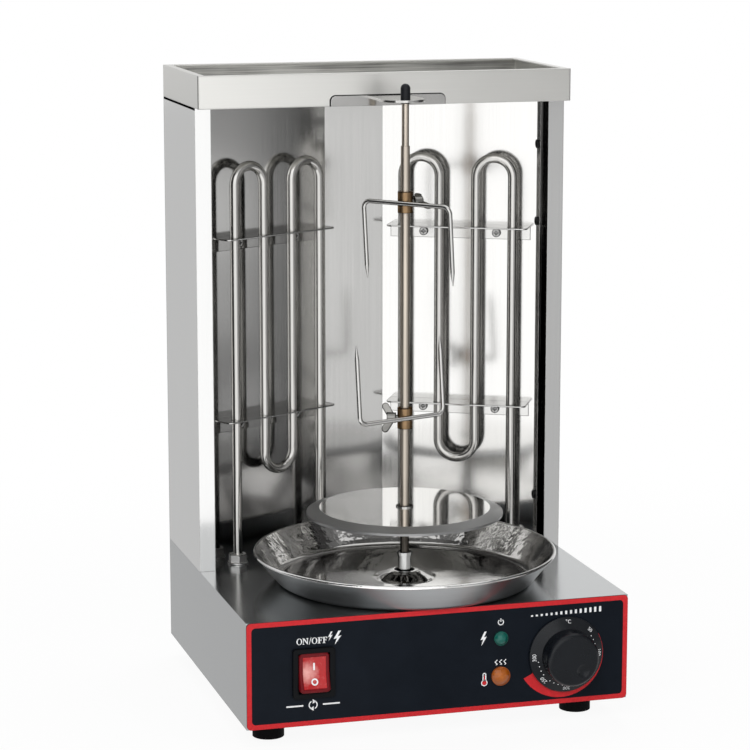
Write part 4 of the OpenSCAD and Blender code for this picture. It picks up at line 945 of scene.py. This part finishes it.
def turned_mesh(name, profile, outside):
    """Turn a closed outline about the spit; its first faces have the outer finish."""
    count = len(profile)
    points = []
    faces = []
    for step in range(PAN_STEPS):
        a = 2 * math.pi * step / PAN_STEPS
        c, s = math.cos(a), math.sin(a)
        points += [(SPIT[0] + r * MM * c, SPIT[1] + r * MM * s, h * MM) for r, h in profile]
        here, there = step * count, (step + 1) % PAN_STEPS * count
        for i in range(count):
            j = (i + 1) % count
            faces.append((here + i, there + i, there + j, here + j))
    mesh = mesh_of(name, points, faces, looks["pan"], looks["pan_outside"])
    smooth(mesh, [int(i < outside) for i in range(count)] * PAN_STEPS, crease=50)
    return mesh


lean = wall_lean()
dome = [dome_point(i) for i in range(DOME_STEPS + 1)]
under = dome + arc(*CORNER, CORNER_RADIUS, -90, lean, CORNER_STEPS)
bead = arc(*RIM, RIM_RADIUS, lean + RIM_START, lean + RIM_STOP, RIM_STEPS)
over = arc(*CORNER, CORNER_RADIUS - PAN_THICK, lean, -90, CORNER_STEPS)
over += [(r, h + PAN_THICK) for r, h in reversed(dome)]
pan = show("pan_sheet", turned_mesh("pan_sheet", under + bead + over, len(under)), "drip_pan")
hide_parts("drip_pan")


def emission(name, strength):
    made = bpy.data.materials.new(name)
    made.use_nodes = True
    tree = made.node_tree
    tree.nodes.remove(tree.nodes["Principled BSDF"])
    glow = tree.nodes.new("ShaderNodeEmission")
    glow.inputs["Color"].default_value = (1, 1, 1, 1)
    glow.inputs["Strength"].default_value = strength
    tree.links.new(glow.outputs[0], tree.nodes["Material Output"].inputs["Surface"])
    return made


def level_sheet(name, x0, y0, x1, y1, z, material):
    corners = [(x0, y0, z), (x1, y0, z), (x1, y1, z), (x0, y1, z)]
    return add_object(name, mesh_of(name, corners, [(0, 1, 2, 3)], material))


def seen_rays(tree):
    """A socket that is 1 for rays from the camera, off glossy pieces and through clear ones."""
    paths = tree.nodes.new("ShaderNodeLightPath")
    seen = paths.outputs["Is Camera Ray"]
    for kind in ["Is Glossy Ray", "Is Transmission Ray"]:
        either = tree.nodes.new("ShaderNodeMath")
        either.operation = "MAXIMUM"
        tree.links.new(seen, either.inputs[0])
        tree.links.new(paths.outputs[kind], either.inputs[1])
        seen = either.outputs[0]
    return seen


# Floor: white to the camera and in reflections, and it keeps the object's shadow
FLOOR_HALF = 6.0
FLOOR_FADE = (0.25, 0.75)
WHITE_NEAR = 0.92
floor_look = Look("floor", Base_Color=(0.86, 0.86, 0.86, 1), Roughness=0.9, Specular_IOR_Level=0.0)
far = floor_look.add("ShaderNodeVectorMath", operation="LENGTH")
floor_look.feed(floor_look.place, far.inputs[0])
fade = floor_look.spread(
    far.outputs["Value"], WHITE_NEAR, 1.0, *FLOOR_FADE, interpolation="SMOOTHSTEP")
white = floor_look.add("ShaderNodeEmission")
mix = floor_look.add("ShaderNodeMixShader")
floor_look.feed(floor_look.maths("MULTIPLY", fade, seen_rays(floor_look.tree)), mix.inputs["Fac"])
floor_look.feed(floor_look.shader.outputs[0], mix.inputs[1])
floor_look.feed(white.outputs[0], mix.inputs[2])
floor_look.feed(mix.outputs[0], floor_look.tree.nodes["Material Output"].inputs["Surface"])
floor = level_sheet("floor", -FLOOR_HALF, -FLOOR_HALF, FLOOR_HALF, FLOOR_HALF, 0, floor_look.material)

# World: white behind the object and in reflections, softer as light
SKY_LIGHT = 0.45
world = bpy.data.worlds.new("studio")
bpy.context.scene.world = world
world.use_nodes = True
tree = world.node_tree
sky = tree.nodes["Background"]
sky.inputs["Color"].default_value = (1, 1, 1, 1)
level = tree.nodes.new("ShaderNodeMapRange")
level.inputs["To Min"].default_value = SKY_LIGHT
level.inputs["To Max"].default_value = 1.0
tree.links.new(seen_rays(tree), level.inputs["Value"])
tree.links.new(level.outputs["Result"], sky.inputs["Strength"])

# Cards that only reflections see, as the studio around the steel
CARD_TOP = 1.4
CARD_GAP = 0.001


def hide_card(made):
    made.visible_camera = False
    made.visible_diffuse = False
    made.visible_transmission = False
    made.visible_shadow = False


def card(name, strength, wall, near=(), low=0.0, high=CARD_TOP):
    """An upright wall over a run of floor points, with the floor up to the near points."""
    points = [(x, y, low + CARD_GAP) for x, y in wall]
    points += [(x, y, high) for x, y in wall]
    points += [(x, y, low + CARD_GAP) for x, y in near]
    count = len(wall)
    faces = [(i, i + 1, count + i + 1, count + i) for i in range(count - 1)]
    if near:
        faces.append([*range(count), *range(2 * count + len(near) - 1, 2 * count - 1, -1)])
    hide_card(add_object(name, mesh_of(name, points, faces, emission(name, strength))))


REAR = [(0.3, 1.6), (-0.5, 1.6), (-1.1, 1.2), (-1.2, 0.6)]
REAR_HEIGHT = 0.28
LEFT = [(-0.95, 0.45), (-1.05, -0.2), (-0.85, -0.72)]
GREY = [(0.27, -1.25), (0.55, -1.1), (0.75, -0.85)]
GREY_BANDS = [(0.32, 0.365, 0.32), (0.365, 0.5, 0.52), (0.5, CARD_TOP, 0.3)]
GLOW = [(0.93, -0.46), (0.968, -0.325)]
GLOW_BANDS = [
    (0.05, 0.15, 0.40), (0.15, 0.24, 0.60), (0.24, 0.31, 0.30), (0.31, CARD_TOP, 0.2),
]
EDGE = [(0.968, -0.325), (0.9735, -0.307)]
DARK = [(0.9735, -0.307), (1.0, 0.1), (0.9, 0.6)]
SIDE_FOOT = 0.05

card("bright card", 1.36, [(-0.25, -1.4), (0.27, -1.25)], [(-0.20, -0.2), (-0.03, -0.16)])
card("white card", 1.18, [(-1.0, -0.85), (-0.25, -1.4)], [(-0.16, -0.16), (-0.20, -0.2)])
card("left dark card", 0.05, LEFT, [(-0.45, 0.0), (-0.42, -0.2)])
card("rear grey card", 0.62, REAR, [(-0.131, 0.14), (-0.131, -0.13)], high=REAR_HEIGHT)
card("upper rear card", 0.8, REAR, low=REAR_HEIGHT)
card("grey card", 0.6, GREY, [(-0.03, -0.16), (0.15, -0.14)], high=GREY_BANDS[0][0])
for low, high, strength in GREY_BANDS:
    card(f"grey card at {low}", strength, GREY, low=low, high=high)
card("dim card", 0.36, [(0.75, -0.85), (0.93, -0.46)], [(0.46, -0.24), (0.48, -0.23)])
card("glow card", 0.18, GLOW, [(0.48, -0.23), (0.48, -0.2)], high=SIDE_FOOT)
for low, high, strength in GLOW_BANDS:
    card(f"glow card at {low}", strength, GLOW, low=low, high=high)
card("edge card", 0.24, EDGE)
card("dark card", 0.05, DARK, [(0.48, -0.2), (0.48, 0.2)], high=SIDE_FOOT)
card("upper dark card", 0.06, DARK, low=SIDE_FOOT)

CEILING = 2.1
UNDER_CEILING = CEILING - 0.01
for name, strength, corners, height in [
    ("ceiling card", 0.2, (-1.6, -1.5, 1.6, 1.6), CEILING),
    ("ceiling glow", 1.1, (-1.05, -0.95, 1.6, 1.6), UNDER_CEILING),
    ("ceiling glow left", 1.1, (-1.6, -0.25, -1.05, 1.6), UNDER_CEILING),
]:
    hide_card(level_sheet(name, *corners, height, emission(name, strength)))


def aim(made, place, target):
    """Put a lamp or the camera in its place and turn it to a target."""
    made.location = place
    made.rotation_euler = (Vector(target) - Vector(place)).to_track_quat("-Z", "Y").to_euler()


LAMP_AIM = (0, 0, 0.2)


def lamp(name, place, size, power):
    data = bpy.data.lights.new(name, "AREA")
    data.shape = "RECTANGLE"
    data.size, data.size_y = size
    data.energy = power
    made = add_object(name, data)
    aim(made, place, LAMP_AIM)
    return made


lamp("key", (-0.9, -1.6, 1.3), (1.2, 0.8), 22)
lamp("fill", (0.65, -1.5, 0.75), (0.5, 0.4), 4)
top_lamp = lamp("top", (0.1, 0.5, 1.7), (1.2, 1.0), 11)
top_lamp.visible_glossy = False

CAMERA_AT = Vector((-513.65, -1743.5, 559.5)) * MM
CAMERA_AIM = Vector((-10.35, 3.35, 221.05)) * MM
camera_data = bpy.data.cameras.new("camera")
camera_data.sensor_width = 36.0
camera_data.lens = 130.3
camera = add_object("camera", camera_data)
aim(camera, CAMERA_AT, CAMERA_AIM)
bpy.context.scene.camera = camera
bpy.context.scene.view_settings.view_transform = "Standard"
